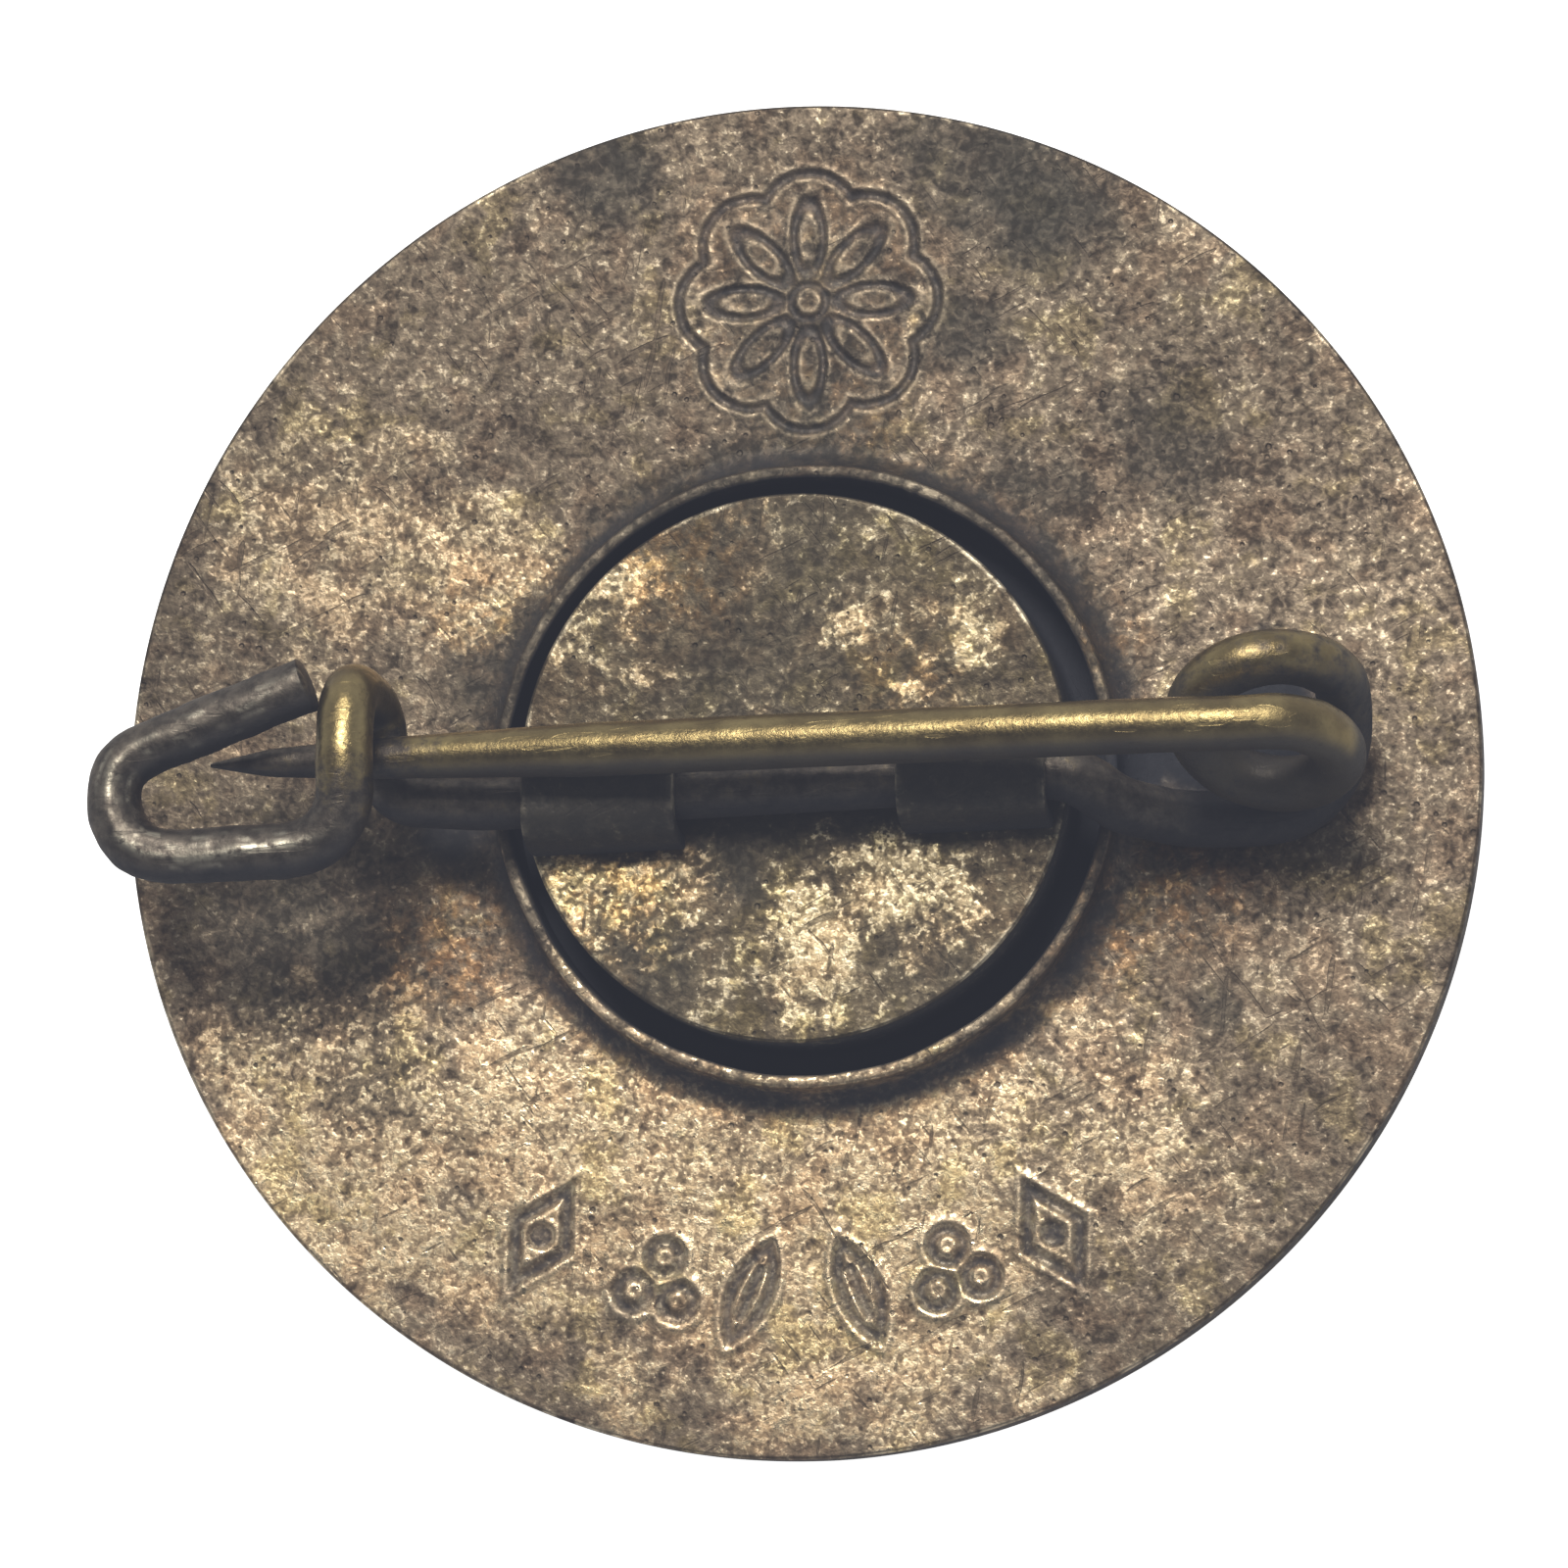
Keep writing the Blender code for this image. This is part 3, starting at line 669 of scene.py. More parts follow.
def plate_masks(radii, x_mm, y_mm, z, warp, on_collar, inside, lips):
    """Where the plate is stained or painted with shadow, painted with sheen and shade, coppery,
    grimy or painted with shade in its groove and under the wire, and rubbed or painted with
    highlights.
    """
    from_crest = (radii - COLLAR_CREST_RADIUS)[:, None] / MM
    on_crest = np.exp(-((from_crest / 0.12) ** 2)) * on_collar
    halo = smooth_step(from_crest, 0.05, 0.15) * (1.0 - smooth_step(from_crest, 0.35, 1.0))
    low_side = smooth_step(-y_mm, 1.0, 4.5)

    # Painted shade in the groove: the hole's inner side and the collar's inner side are painted
    # dark
    groove_shade = 1.0 - smooth_step(radii, HOLE_RADIUS, HOLE_RADIUS + 0.05 * MM)[:, None]
    groove_shade = np.maximum(groove_shade, (radii < COLLAR_CREST_RADIUS)[:, None] * (z < COLLAR_CREST_Z))
    # Painted shade on the collar's outer slope, stronger on its lower side
    flare_shade = smooth_step(from_crest, 0.08, 0.17) * (1.0 - smooth_step(from_crest, 0.26, 0.62))
    flare_shade = np.clip(flare_shade * (0.32 + 0.56 * low_side + 0.55 * warp), 0.0, 0.92)
    # Painted shadows on the plate under the spring coil and beside the catch
    painted_shadows = 1.15 * spots(x_mm, y_mm, PLATE_PAINTED_SHADOWS, 0.5 * warp)
    # Painted shade on the sheet's outer side
    side = (radii > PLATE_RADIUS - 0.01 * MM)[:, None] * (z < DISC_TOP - 0.8 * PLATE_EDGE_ROUND)

    # The crest is rubbed, and painted brighter on its lower side as a painted highlight
    crest_wear_and_highlight = np.clip(0.02 + 0.16 * low_side + 0.6 * np.roll(warp, 90, axis=1), 0.0, 0.5)
    nicks = smooth_step(np.roll(warp, 60, axis=1), 0.05, 0.45)
    # Rubbed nicks and painted highlights along the sheet's outer edge
    edge = smooth_step(radii, PLATE_RADIUS - 0.10 * MM, PLATE_RADIUS - 0.03 * MM)[:, None]
    edge = edge * (z > DISC_TOP - 0.5 * PLATE_EDGE_ROUND)
    stain_and_shadow = [
        spots(x_mm, y_mm, PLATE_STAINS_AND_SHADOW, warp),
        (0.75 - 0.45 * low_side) * np.clip(halo + 0.5 * warp * (halo > 0), 0.0, 1.0),
        (0.85 - 0.35 * low_side) * on_crest,
    ]
    dirt_and_shade = np.maximum.reduce([groove_shade, flare_shade, painted_shadows, 0.60 * inside, 0.55 * side])
    return {
        "stain_and_shadow": np.maximum.reduce(stain_and_shadow),
        "sheen_and_plating": spots(x_mm, y_mm, PLATE_SHEEN, warp),
        "shade": plate_shade(x_mm, y_mm),
        "copper": np.maximum(spots(x_mm, y_mm, PLATE_COPPER, warp), 0.6 * halo),
        "dirt_and_shade": np.clip(dirt_and_shade, 0.0, 1.0),
        "wear_and_highlight": np.maximum.reduce([on_crest * crest_wear_and_highlight, 0.25 * lips, 0.8 * edge * nicks]),
    }


def back_plate_sheet(material):
    """The back plate: struck sheet with an uneven face and a thin rolled collar."""
    radii, around, xy, z = lathe(plate_profile(), plate_columns())
    off_centre = np.clip((PLATE_RADIUS - radii) / (PLATE_RADIUS - COLLAR_FOOT), 0.0, 1.0)
    xy = xy + off_centre[:, None, None] * np.array(COLLAR_CENTRE.xy)
    x_mm, y_mm = xy[..., 0] / MM, xy[..., 1] / MM
    flat = np.dstack([xy, np.zeros_like(z)])

    # Slow unevenness of the sheet and the struck ornament
    on_flat = smooth_step(radii, COLLAR_FOOT - 0.2 * MM, COLLAR_FOOT + 0.1 * MM)
    on_flat = on_flat * (1.0 - smooth_step(radii, PLATE_RADIUS - 0.4 * MM, PLATE_RADIUS))
    on_flat = on_flat[:, None] * (z > DISC_TOP - 0.02 * MM)
    relief, inside, lips = struck_relief(x_mm, y_mm)
    ripple = 0.005 * MM * fractal(flat, 1.1, 2, seed=7.0)
    z = z + on_flat * (0.020 * MM * fractal(flat, 0.22, 3) + ripple + relief)

    # A wavy collar
    on_collar = smooth_step(z, DISC_TOP + 0.1 * MM, COLLAR_CREST_Z)
    ring = np.append(around * 5.0 * MM, np.zeros((len(around), 1)), axis=1)
    wave = np.repeat(fractal(ring, 0.55, 3, seed=3.0)[None], len(radii), axis=0)
    z = z + on_collar * 0.035 * MM * wave
    xy = xy + (on_collar * 0.030 * MM * np.roll(wave, 40, axis=1))[..., None] * around[None]

    warp = fractal(flat, 0.8, 4, seed=11.0)
    masks = plate_masks(radii, x_mm, y_mm, z, warp, on_collar, inside, lips)
    plate = skin("back_plate_sheet", np.dstack([xy, z]), masks, wrap=True, sharp_deg=60.0)
    dress(plate, material, "back_plate")


CUP_STAINS = [
    (0.0, 4.0, 1.6, 0.35), (-1.0, -1.7, 0.75, 0.9), (-2.2, -3.2, 1.0, 0.7),
    (2.3, -3.3, 1.1, 0.4), (-0.6, 1.4, 1.6, 0.35),
]
# Places on the cup of brighter, flaky plating with painted sheen
CUP_SHEEN_AND_PLATING = [
    (-3.0, -2.1, 1.3, 1.0), (-2.0, -2.1, 0.9, 1.0), (0.5, -2.7, 1.0, 0.85),
    (1.9, -1.9, 1.3, 1.0), (0.4, -3.9, 0.7, 0.6), (-2.7, 2.9, 0.6, 0.55),
    (-3.7, 2.3, 0.5, 0.65), (0.8, 2.5, 0.5, 0.45), (3.0, 2.7, 0.5, 0.55),
    (3.3, 2.1, 0.5, 0.60), (2.3, 1.4, 0.6, 0.45),
]
CUP_COPPER = [
    (-1.7, 3.5, 1.2, 0.8), (-2.8, -2.0, 1.3, 0.75), (2.0, 1.6, 1.0, 0.5),
]


def cup_measures():
    """Height of the cup's flat top and the radius of its wall, read from the CAD node."""
    points = np.array([v.co for v in frame["nodes"]["centre_plate"].data.vertices])
    away = np.hypot(points[:, 0] - CUP_CENTRE.x, points[:, 1] - CUP_CENTRE.y)
    radius = away[points[:, 2] > COLLAR_TOP].max()
    clear_of_straps = np.abs(points[:, 1] - CUP_CENTRE.y) > 0.5 * radius
    top = points[clear_of_straps, 2].max()
    return top, radius


def centre_cup(material, top, radius):
    """The flanged cup inside the collar: a slightly dished, scuffed top and a rounded edge."""
    inner = radius - CUP_SHEET
    flange_top = PLATE_BOTTOM - GAP
    rim = radius - CUP_EDGE_ROUND
    profile = [
        (HUB, top - CUP_SHEET),
        *[(r, top - CUP_SHEET) for r in np.linspace(0.3 * MM, inner, 8)],
        (inner, CUP_LOW.z),
        (FLANGE_RADIUS, CUP_LOW.z),
        (FLANGE_RADIUS, flange_top),
        (radius + 0.1 * MM, flange_top),
        (radius, flange_top + 0.1 * MM),
        *arc((rim, top - CUP_EDGE_ROUND), CUP_EDGE_ROUND, 0.0, 80.0, 7),
        *[(r, top) for r in np.linspace(rim, HUB, 90)],
    ]
    radii, _, xy, z = lathe(profile, full_turn(360), CUP_CENTRE.xy)
    flat = np.dstack([xy, np.zeros_like(z)])
    on_face = (z > top - 0.005 * MM) * (1.0 - smooth_step(radii, 0.92 * rim, rim))[:, None]
    slow, ripple = fractal(flat, 0.30, 3, seed=5.0), fractal(flat, 1.6, 2, seed=9.0)
    z = z + on_face * (0.020 * MM * slow + 0.006 * MM * ripple)

    warp = fractal(flat, 1.0, 4, seed=13.0)
    x_mm, y_mm = xy[..., 0] / MM, xy[..., 1] / MM
    on_top = z > top - 0.5 * CUP_EDGE_ROUND
    # Rubbed metal and a painted highlight along the cup's edge
    edge = smooth_step(radii, rim - 0.04 * MM, rim)[:, None] * on_top
    # A darker band on the cup along the wire, below the straps
    along_wire = smooth_step(y_mm + 0.4 * warp, -1.7, -0.9) * (1.0 - smooth_step(y_mm, -0.1, 0.6))
    masks = {
        "stain_and_shadow": np.maximum(spots(x_mm, y_mm, CUP_STAINS, warp), 0.9 * along_wire * on_top),
        "sheen_and_plating": spots(x_mm, y_mm, CUP_SHEEN_AND_PLATING, warp) * (1.0 - along_wire),
        "copper": spots(x_mm, y_mm, CUP_COPPER, warp),
        # Painted shade, darker towards the cup's top
        "shade": 0.15 + 0.50 * smooth_step(y_mm, -1.0, 0.8),
        # Painted shade on the cup's side below its top edge
        "dirt_and_shade": smooth_step(top - z, 0.3 * CUP_EDGE_ROUND, 1.5 * CUP_EDGE_ROUND),
        "wear_and_highlight": 0.5 * edge * smooth_step(warp, -0.2, 0.4),
    }
    cup = skin("centre_cup", np.dstack([xy, z]), masks, sharp_deg=60.0)
    dress(cup, material, "centre_plate")


def strap_spans(top):
    """(x0, x1, y0, y1) of each CAD strap at the cup's top, left one first."""
    points = np.array([v.co for v in frame["nodes"]["centre_plate"].data.vertices])
    crowns = points[points[:, 2] > top + 0.5 * MM]
    spans = []
    for side in (crowns[crowns[:, 0] < 0.0], crowns[crowns[:, 0] > 0.0]):
        x0, x1 = side[:, 0].min(), side[:, 0].max()
        at_end = side[side[:, 0] < x0 + 1e-5]
        far_end = side[side[:, 0] > x1 - 1e-5]
        spans.append((x0, x1, at_end[:, 1].mean(), far_end[:, 1].mean()))
    return spans


def strap_bow(top, crown):
    """Middle line (y, z) of a strap over the wire and its normals; both feet enter the cup."""
    sheet = 0.5 * STRAP_SHEET
    bow = []
    for t in np.linspace(-1.0, 1.0, 61):
        side = np.sign(t) * (1.0 - (1.0 - abs(t)) ** 1.6)
        lift = (1.0 - abs(side) ** 3.6) ** (1.0 / 2.2)
        bow.append((side * (STRAP_HALF_FOOT - sheet), top + (crown - sheet - top) * lift))
    bow = np.array(bow)
    bow[0, 1] = bow[-1, 1] = top - 0.5 * sheet
    tangent = np.gradient(bow, axis=0)
    tangent /= np.linalg.norm(tangent, axis=1)[:, None]
    return bow, np.stack([-tangent[:, 1], tangent[:, 0]], axis=-1)


def strap_section(x0, x1):
    """Outline (x, depth) of a strap's sheet between two ends, with soft edges."""
    sheet, soft = 0.5 * STRAP_SHEET, STRAP_SOFT_EDGE
    across = np.linspace(x0 + soft, x1 - soft, 24)
    outward = [(soft * math.sin(a), sheet - soft * (1 - math.cos(a))) for a in (0.5, 1.0)]
    inward = list(reversed(outward))
    return [
        *[(x, sheet) for x in across],
        *[(x1 - soft + out, depth) for out, depth in outward],
        (x1, 0.0),
        *[(x1 - soft + out, -depth) for out, depth in inward],
        *[(x, -sheet) for x in reversed(across)],
        *[(x0 + soft - out, -depth) for out, depth in outward],
        (x0, 0.0),
        *[(x0 + soft - out, depth) for out, depth in inward],
    ]


def strap(name, span, top, crown, material):
    """A strip lanced up from the cup and bowed over the wire."""
    x0, x1, y0, y1 = span
    bow, normals = strap_bow(top, crown)
    x, depth = np.array(strap_section(x0, x1)).T
    drift = y0 + (y1 - y0) * (x - x0) / (x1 - x0)
    y = drift + bow[:, :1] + normals[:, :1] * depth
    z = bow[:, 1:] + normals[:, 1:] * depth
    rows = np.stack([np.broadcast_to(x, y.shape), y, z], axis=-1)
    rows[..., 2] += 0.018 * MM * fractal(rows, 0.8, 3, seed=17.0)
    height = (rows[..., 2] - top) / (crown - top)
    ends = np.minimum(rows[..., 0] - x0, x1 - rows[..., 0])
    # The straps are painted dark as painted shade from the needle above them, darker still towards
    # their feet; their rubbed ends are lighter
    masks = {
        "stain_and_shadow": np.full(height.shape, 0.7),
        "sheen_and_plating": np.zeros(height.shape),
        "shade": np.ones(height.shape),
        "copper": np.zeros(height.shape),
        "dirt_and_shade": 0.25 + 0.60 * (1.0 - smooth_step(height, 0.1, 0.95)),
        "wear_and_highlight": 0.25 * (1.0 - smooth_step(ends, 0.0, 0.08 * MM)) * (height > 0.8),
    }
    dress(skin(name, rows, masks), material)


def turned(name, profile, material, node, masks=None, wrap=False, seed=0.0):
    """A turned part about Z with faint unevenness; masks hold one value for each profile row."""
    radii, around, xy, z = lathe(profile, full_turn(480))
    uneven = fractal(np.dstack([xy, z]), 0.5, 3, seed=seed)
    at_rim = (radii >= DISC_RADIUS - 0.01 * MM)[:, None]
    xy = xy * (1.0 - 0.0006 * at_rim * (1.0 + uneven))[..., None]
    spread = {key: np.repeat(m[:, None], len(around), 1) for key, m in (masks or {}).items()}
    piece = skin(name, np.dstack([xy, z]), spread, wrap=wrap, sharp_deg=40.0)
    dress(piece, material, node)


def shell_profile():
    """Half section of the struck cup, from the middle of its face round the rim to the inside."""
    ease = FACE_EASE
    shoulder = []
    for angle in np.radians(np.linspace(0.0, 90.0, 19)):
        r = FACE_RADIUS + (DISC_RADIUS - FACE_RADIUS) * math.sin(angle)
        shoulder.append((r, SHOULDER_HEIGHT * (1.0 - math.cos(angle))))
    outside = np.linspace(SHOULDER_HEIGHT, SHELL_TOP - 0.3 * ease, 4)[1:]

    def step_down(radius):
        return [(radius - ease, 0.0), (radius, ease), (radius, CELL_DEPTH)]

    def step_up(radius):
        return [(radius, CELL_DEPTH), (radius, ease), (radius + ease, 0.0)]

    return [
        (HUB, 0.0),
        *step_down(BOSS_RADIUS),
        *step_up(PARTITION_OUTER - PARTITION_WIDTH),
        *step_down(PARTITION_OUTER),
        *step_up(FACE_RADIUS - RIM_WIDTH),
        *shoulder,
        *[(DISC_RADIUS, z) for z in outside],
        (DISC_RADIUS - 0.3 * ease, SHELL_TOP),
        (DISC_RADIUS - WALL, SHELL_TOP),
        (DISC_RADIUS - WALL, FLOOR_TOP),
        (HUB, FLOOR_TOP),
    ]


def shell_cup(material):
    """The struck cup that carries the face, rubbed on the face, painted darker on its rim's side as
    painted shade, and darker inside.
    """
    profile = shell_profile()
    radii, heights = np.array(profile).T
    rim = smooth_step(radii, FACE_RADIUS, DISC_RADIUS)
    hidden = (heights > 0.98 * FLOOR_TOP) * (radii < DISC_RADIUS - 0.02 * MM)
    # The rim's side is painted dark as painted shade, with stains and a little copper; the hidden
    # inside is darker
    masks = {
        "stain_and_shadow": 0.45 * rim,
        "sheen_and_plating": 0.15 * (1.0 - rim),
        "copper": 0.20 * rim,
        "shade": 0.5 * rim,
        "dirt_and_shade": np.maximum(0.45 * (heights > SHOULDER_HEIGHT) * rim, 0.8 * hidden),
        "wear_and_highlight": 0.5 * (heights < 0.01 * MM),
    }
    turned("shell_cup", profile, material, "front_shell", masks, seed=21.0)


def enamel(name, material, node, inner, outer):
    """A ring of enamel that fills its cell, with a raised meniscus at both walls."""
    inner, outer = inner + GAP, outer - GAP
    high = CELL_DEPTH - GAP
    face = []
    for t in np.linspace(0.0, 1.0, 17):
        meniscus = MENISCUS * (2.0 * abs(t - 0.5)) ** 6
        face.append((inner + (outer - inner) * t, GAP + meniscus))
    turned(name, [*face, (outer, high), (inner, high)], material, node, wrap=True)


# ---------------------------------------------------------------- wire


def flat_ends(bm):
    """Centre and outward normal of each round, flat end of a faceted wire."""
    ends = []
    seen = set()
    for face in bm.faces:
        if face in seen:
            continue
        seen.add(face)
        group = [face]
        for member in group:
            for beside in {f for e in member.edges for f in e.link_faces} - seen:
                if beside.normal.dot(face.normal) > 0.99999:
                    seen.add(beside)
                    group.append(beside)
        verts = {v.index: v for member in group for v in member.verts}
        verts = [verts[index] for index in sorted(verts)]
        centre = sum((v.co for v in verts), Vector()) / len(verts)
        reach = [(v.co - centre).length for v in verts]
        if len(verts) >= 8 and max(reach) - min(reach) < 0.05 * max(reach):
            ends.append((centre, face.normal.copy()))
    return ends


def feel_round(tree, point, heading):
    """Centre and mean radius of a wire's section, felt from a point inside it."""
    side = heading.orthogonal().normalized()
    other = heading.cross(side)
    hits = []
    for turn in full_turn(FEELERS):
        hits.append(tree.ray_cast(point, side * math.cos(turn) + other * math.sin(turn))[0])
    centre = sum(hits, Vector()) / FEELERS
    return centre, sum((hit - centre).length for hit in hits) / FEELERS


def cad_centreline(node, near):
    """Centres and radii along a CAD wire, felt out from its flat end nearest to a point."""
    bm = bmesh.new()
    bm.from_mesh(frame["nodes"][node].data)
    bmesh.ops.remove_doubles(bm, verts=bm.verts, dist=0.002 * MM)
    bm.normal_update()
    bm.verts.index_update()
    tree = BVHTree.FromBMesh(bm)
    start, normal = min(flat_ends(bm), key=lambda end: (end[0] - near).length)
    bm.free()
    centres, radii = [start], []
    heading = -normal
    ahead = tree.ray_cast(start + heading * 0.1 * FEEL_STEP, heading)[3]
    while ahead > 1.5 * FEEL_STEP:
        centre, _ = feel_round(tree, centres[-1] + heading * FEEL_STEP, heading)
        heading = (centre - centres[-1]).normalized()
        centre, radius = feel_round(tree, centre, heading)
        centres.append(centre)
        radii.append(radius)
        ahead = tree.ray_cast(centre, heading)[3]
    centres.append(centres[-1] + heading * ahead)
    radii.append(max(radii[-1] + (radii[-1] - radii[-2]) * ahead / FEEL_STEP, 0.0))
    radii.insert(0, radii[0])
    facet_gain = 2.0 * math.pi / FEELERS / math.sin(2.0 * math.pi / FEELERS)
    return np.array([list(c) for c in centres]), np.array(radii) * math.sqrt(facet_gain)


def even_path(centres, radii, soften):
    """Points at even steps along a path, with its corners softened over a length."""
    steps = np.linalg.norm(np.diff(centres, axis=0), axis=1)
    along = np.concatenate([[0.0], np.cumsum(steps)])
    count = int(along[-1] / WIRE_STEP)
    even = np.linspace(0.0, along[-1], count)
    values = np.column_stack([np.interp(even, along, column) for column in centres.T])
    values = np.column_stack([values, np.interp(even, along, radii)])
    window = max(1, int(soften / WIRE_STEP))
    kernel = np.hanning(2 * window + 3)[1:-1]
    kernel /= kernel.sum()
    start = 2.0 * values[0] - values[window:0:-1]
    end = 2.0 * values[-1] - values[-2:-window - 2:-1]
    padded = np.vstack([start, values, end])
    smooth = np.column_stack([np.convolve(c, kernel, mode="valid") for c in padded.T])
    return even, smooth[:, :3], np.maximum(smooth[:, 3], 0.02 * MM)


def path_frames(path):
    """Tangent and two side directions at each point, carried along without twist."""
    tangents = np.gradient(path, axis=0)
    tangents /= np.linalg.norm(tangents, axis=1)[:, None]
    side = np.cross(tangents[0], (0.0, 0.0, 1.0))
    sides = []
    for tangent in tangents:
        side = side - tangent * side.dot(tangent)
        side /= np.linalg.norm(side)
        sides.append(side)
    sides = np.array(sides)
    return tangents, sides, np.cross(tangents, sides)


def at_stations(along, stations):
    """Values along the wire, straight between stations of (mm along it, value)."""
    places, values = zip(*stations)
    return np.interp(along, np.array(places) * MM, values)


def wire_run():
    """The brooch wire felt from the CAD: path, radii, and where feed, coil and pin start."""
    base_low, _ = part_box("base_wire")
    base, base_radii = cad_centreline("base_wire", Vector((base_low.x, 0.0, cad_high.z)))
    turns, turns_radii = cad_centreline("spring_coil", Vector(base[-1]))
    needle, needle_radii = cad_centreline("needle", Vector(turns[-1]))
    centres = np.vstack([base, turns[1:], needle[1:]])
    radii = np.concatenate([base_radii, turns_radii[1:], needle_radii[1:]])
    along, path, radius = even_path(centres, radii, WIRE_SOFTEN)
    feed = int(np.argmin(np.linalg.norm(path - base[-1], axis=1)))
    pin = int(np.argmin(np.linalg.norm(path - needle[0], axis=1)))
    behind = (path - np.array(COIL_CENTRE)) @ np.array(COIL_AXIS)
    between = np.arange(feed, pin)
    coil = int(between[np.argmax(path[between, 0] - 2.0 * behind[between])])
    return along, path, radius, (feed, coil, pin)


def wire_surface(along, path, radius):
    """Points round the wire, uneven as if hammered near the catch, and what the masks need."""
    tangents, sides, ups = path_frames(path)
    turns = full_turn(WIRE_SIDES)[None, :, None]
    circle = np.cos(turns) * sides[:, None] + np.sin(turns) * ups[:, None]
    smooth = path[:, None] + radius[:, None, None] * circle
    hammered = at_stations(along, [(0.0, 1.0), (8.5, 1.0), (10.5, 0.15), (60.0, 0.1)])[:, None]
    lumps, grain = fractal(smooth, 1.3, 3, seed=31.0), fractal(smooth, 5.0, 2, seed=37.0)
    swell = 1.0 + (0.055 * hammered + 0.008) * lumps + 0.010 * hammered * grain

    # A rubbed crown along the catch; lean is 0 straight up and positive away from the loop
    level = np.cross(tangents, (0.0, 0.0, 1.0))
    level /= np.maximum(np.linalg.norm(level, axis=1), 1e-9)[:, None]
    lean = np.arctan2(np.einsum("ijk,ik->ij", circle, level), circle[..., 2])
    lean = lean - 0.30 * fractal(path, 0.7, 3, seed=41.0)[:, None]
    crown = np.exp(-(((lean - 0.05) / 0.14) ** 2)) * at_stations(along, [
        (0.0, 0.0), (2.6, 0.1), (3.4, 0.7), (5.2, 1.0), (7.6, 1.0), (8.6, 0.0), (60.0, 0.0),
    ])[:, None]
    points = path[:, None] + (radius[:, None] * (swell + 0.045 * crown))[..., None] * circle
    return points, circle, lean, crown


def wire_masks(along, path, points, circle, lean, crown, starts):
    """Where the wire shows brass, is rubbed bright with painted highlights, and is painted dark as
    shade.
    """
    feed, coil, pin = (start * WIRE_STEP / MM for start in starts)
    end = along[-1] / MM
    brass = at_stations(along, [
        (0.0, 0.05), (8.0, 0.10), (9.3, 0.45), (10.6, 1.00), (11.8, 0.80), (13.0, 0.25),
        (feed, 0.25), (coil, 0.45), (pin, 0.75),
        (end - 8.0, 0.85), (end - 4.2, 0.60), (end - 2.5, 0.30), (end, 0.25),
    ])
    # Painted highlight streaks along the catch's bends
    streaks = np.zeros_like(lean)
    for middle, seed in ((-0.75, 43.0), (-0.35, 47.0), (0.05, 53.0), (0.45, 59.0)):
        line = np.exp(-(((lean - middle) / 0.07) ** 2))
        broken = smooth_step(fractal(path, 2.4, 2, seed=seed), -0.05, 0.35)[:, None]
        streaks = np.maximum(streaks, line * broken)
    rubbed = smooth_step(fractal(path, 1.6, 2, seed=61.0), -0.45, 0.10)[:, None]
    on_catch = 1.0 - smooth_step(along, 7.6 * MM, 9.0 * MM)[:, None]

    x_mm, y_mm, z_mm = np.moveaxis(points, 2, 0) / MM
    # Painted shade: darker near the plate, on the underside and on the side away from the light,
    # and a painted shadow on the coil's lower turn
    shade_near_plate = 1.0 - smooth_step(points[..., 2], DISC_TOP, DISC_TOP + 2.6 * MM)
    lower_turn_shadow = smooth_step(x_mm, 6.0, 7.0) * (1.0 - smooth_step(y_mm, 0.8, 1.4))
    dirt_and_shade = [
        0.75 * shade_near_plate + 0.35 * np.clip(-circle[..., 2], 0.0, 1.0),
        0.85 * smooth_step(-circle[..., 1], 0.25, 0.80),
        0.85 * lower_turn_shadow * (1.0 - smooth_step(z_mm, 4.7, 5.2)),
    ]
    return {
        "brass": np.repeat(brass[:, None], WIRE_SIDES, axis=1),
        "wear_and_highlight": on_catch * np.maximum(0.60 * streaks, crown * rubbed),
        "dirt_and_shade": np.clip(np.maximum.reduce(dirt_and_shade), 0.0, 0.92),
    }


def burred_end(path, points, masks):
    """The wire with two smaller rings before its first one, where it was cut off."""
    outward = path[0] - path[1]
    outward /= np.linalg.norm(outward)
    rings = [
        path[0] + (points[0] - path[0]) * share + outward * reach
        for share, reach in ((0.76, 0.035 * MM), (0.93, 0.020 * MM))
    ]
    masks = {key: np.vstack([mask[:1], mask[:1], mask]) for key, mask in masks.items()}
    return np.concatenate([rings, points]), masks


def wire_pieces(material):
    """The brooch wire, cut where it crosses a joint: catch, feed, coil and needle."""
    along, path, radius, starts = wire_run()
    points, circle, lean, crown = wire_surface(along, path, radius)
    masks = wire_masks(along, path, points, circle, lean, crown, starts)
    feed, coil, pin = starts

    def piece(name, first, last, slot, node, body=None):
        rows = points[first:last + 1]
        layers = {key: mask[first:last + 1] for key, mask in masks.items()}
        if first == 0:
            rows, layers = burred_end(path, rows, layers)
        return dress(skin(name, rows, layers), material, node, body)

    piece("wire_catch", 0, feed, "wire_metal", "base_wire", "badge")
    feed_piece = piece("wire_feed", feed, coil, "coil_metal", "spring_coil")
    coil_piece = piece("wire_coil", coil, pin, "coil_metal", "spring_coil")
    piece("wire_needle", pin, len(path) - 1, "needle_metal", "needle", "pin")
    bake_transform(feed_piece)
    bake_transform(coil_piece)


# ---------------------------------------------------------------- stage, lights and camera


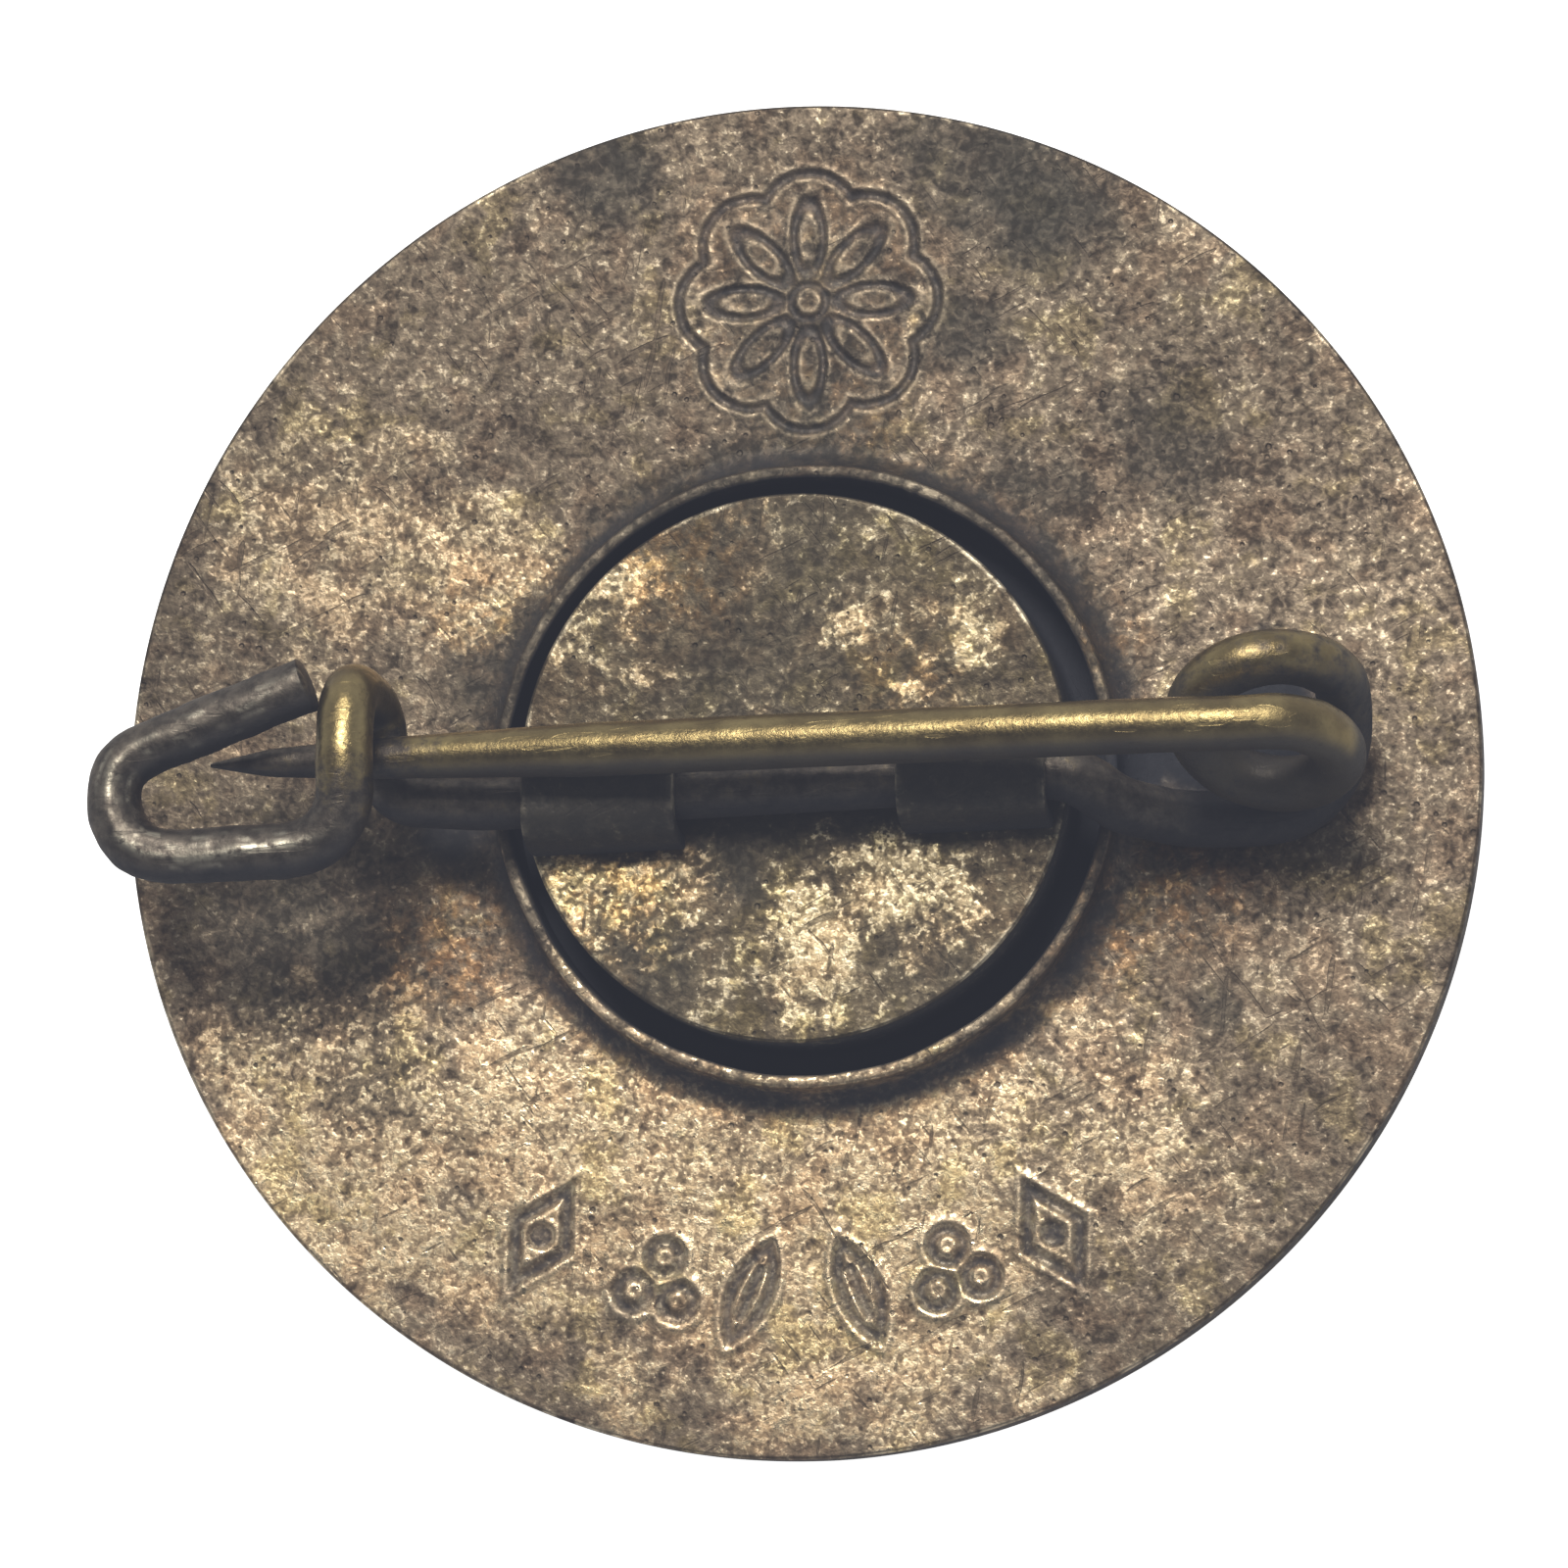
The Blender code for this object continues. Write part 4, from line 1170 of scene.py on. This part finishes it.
def floor_card():
    """A pale floor that looks evenly bright to the camera and lights the badge like a grey card."""
    corners = [(-1, -1), (1, -1), (1, 1), (-1, 1)]
    points = [(FLOOR_HALF * x, FLOOR_HALF * y, 0.0) for x, y in corners]
    floor = mesh_object("floor", points, [[0, 1, 2, 3]])
    s = Shader("floor_card")
    shade = s.noise(0.02, detail=2.0)
    seen = s.node("LightPath").outputs["Is Camera Ray"]
    s.set("Emission Color", (1.0, 1.0, 1.0))
    s.set("Emission Strength", seen)
    colour = s.mix(shade, (0.60, 0.60, 0.60), (0.64, 0.64, 0.64))
    floor.data.materials.append(s.finish(colour, 0.9, 0.0))


def studio():
    """Soft light all round, stronger from the badge's top side and near the horizon."""
    world = bpy.data.worlds.new("studio")
    bpy.context.scene.world = world
    s = Nodes(world, "Background")
    split = s.node("SeparateXYZ", Vector=s.node("TexCoord").outputs["Generated"])
    across, height = split.outputs["Y"], s.math("ABSOLUTE", split.outputs["Z"])
    rise = s.ramp(across, -SKY_REACH, SKY_REACH, *SKY_STRENGTH, way="LINEAR")
    horizon = s.ramp(height, 0.0, HORIZON_REACH, HORIZON_STRENGTH, 0.0, way="LINEAR")
    s.set("Strength", s.math("ADD", rise, horizon))
    s.set("Color", (0.94, 0.97, 1.0))
    add_light("key", (-0.01, 0.115, 0.22), 0.09, 0.52, (1.0, 0.97, 0.92))
    add_light("fill", (0.16, -0.12, 0.20), 0.16, 0.02, (0.84, 0.91, 1.0))


def add_light(name, place, size, power, colour):
    """A round area light that faces the badge."""
    light = bpy.data.lights.new(name, "AREA")
    light.shape = "DISK"
    light.size = size
    light.energy = power
    light.color = colour
    obj = bpy.data.objects.new(name, light)
    obj.location = place
    obj.rotation_euler = (-Vector(place)).to_track_quat("-Z", "Y").to_euler()
    bpy.context.scene.collection.objects.link(obj)


def camera():
    """Looks down on the badge's back, tilted a little towards its lower right."""
    tilt, azimuth = math.radians(CAMERA_TILT_DEG), math.radians(CAMERA_AZIMUTH_DEG)
    back = Vector((
        math.sin(tilt) * math.cos(azimuth),
        math.sin(tilt) * math.sin(azimuth),
        math.cos(tilt),
    ))
    up = (Vector((0.0, 1.0, 0.0)) - back * back.y).normalized()
    right = up.cross(back)
    aim = Vector((0.0, 0.0, DISC_TOP)) + right * AIM_RIGHT + up * AIM_UP
    data = bpy.data.cameras.new("camera")
    data.sensor_width = SENSOR_WIDTH
    data.lens = SENSOR_WIDTH * CAMERA_DISTANCE / FRAME_WIDTH
    data.clip_start, data.clip_end = 0.001, 10.0
    obj = bpy.data.objects.new("camera", data)
    turn = Matrix((right, up, back)).transposed().to_4x4()
    obj.matrix_world = Matrix.Translation(aim + back * CAMERA_DISTANCE) @ turn
    bpy.context.scene.collection.objects.link(obj)
    bpy.context.scene.camera = obj
    view = bpy.context.scene.view_settings
    view.view_transform = "Standard"
    view.use_curve_mapping = True
    view.curve_mapping.black_level = BLACK_LEVEL
    view.curve_mapping.update()


def build():
    plate_metal = plated_metal(
        "plate_metal", (0.070, 0.053, 0.038), (0.205, 0.158, 0.110),
        (0.420, 0.332, 0.224), (0.700, 0.585, 0.420),
    )
    cup_metal = plated_metal(
        "cup_metal", (0.060, 0.047, 0.032), (0.130, 0.102, 0.065),
        (0.370, 0.305, 0.200), (0.760, 0.660, 0.480), flake=2.0, grain=0.75,
    )
    shell_metal = plated_metal(
        "shell_metal", (0.078, 0.063, 0.045), (0.240, 0.190, 0.130),
        (0.440, 0.360, 0.240), (0.780, 0.670, 0.480),
    )
    wire_metal = aged_wire("wire_metal")
    ring_enamel = fired_enamel("ring_enamel", (0.008, 0.080, 0.075), (0.020, 0.150, 0.135))
    centre_enamel = fired_enamel("centre_enamel", (0.480, 0.430, 0.300), (0.600, 0.550, 0.410))

    back_plate_sheet(plate_metal)
    cup_top, cup_radius = cup_measures()
    centre_cup(cup_metal, cup_top, cup_radius)
    spans = strap_spans(cup_top)
    for name, span in zip(("strap_left", "strap_right"), spans):
        strap(name, span, cup_top, CUP_HIGH.z, cup_metal)
    shell_cup(shell_metal)
    enamel("enamel_outer", ring_enamel, "enamel_ring",
           PARTITION_OUTER, FACE_RADIUS - RIM_WIDTH)
    enamel("enamel_inner", centre_enamel, "enamel_centre",
           BOSS_RADIUS, PARTITION_OUTER - PARTITION_WIDTH)
    wire_pieces(wire_metal)


build()
floor_card()
studio()
camera()
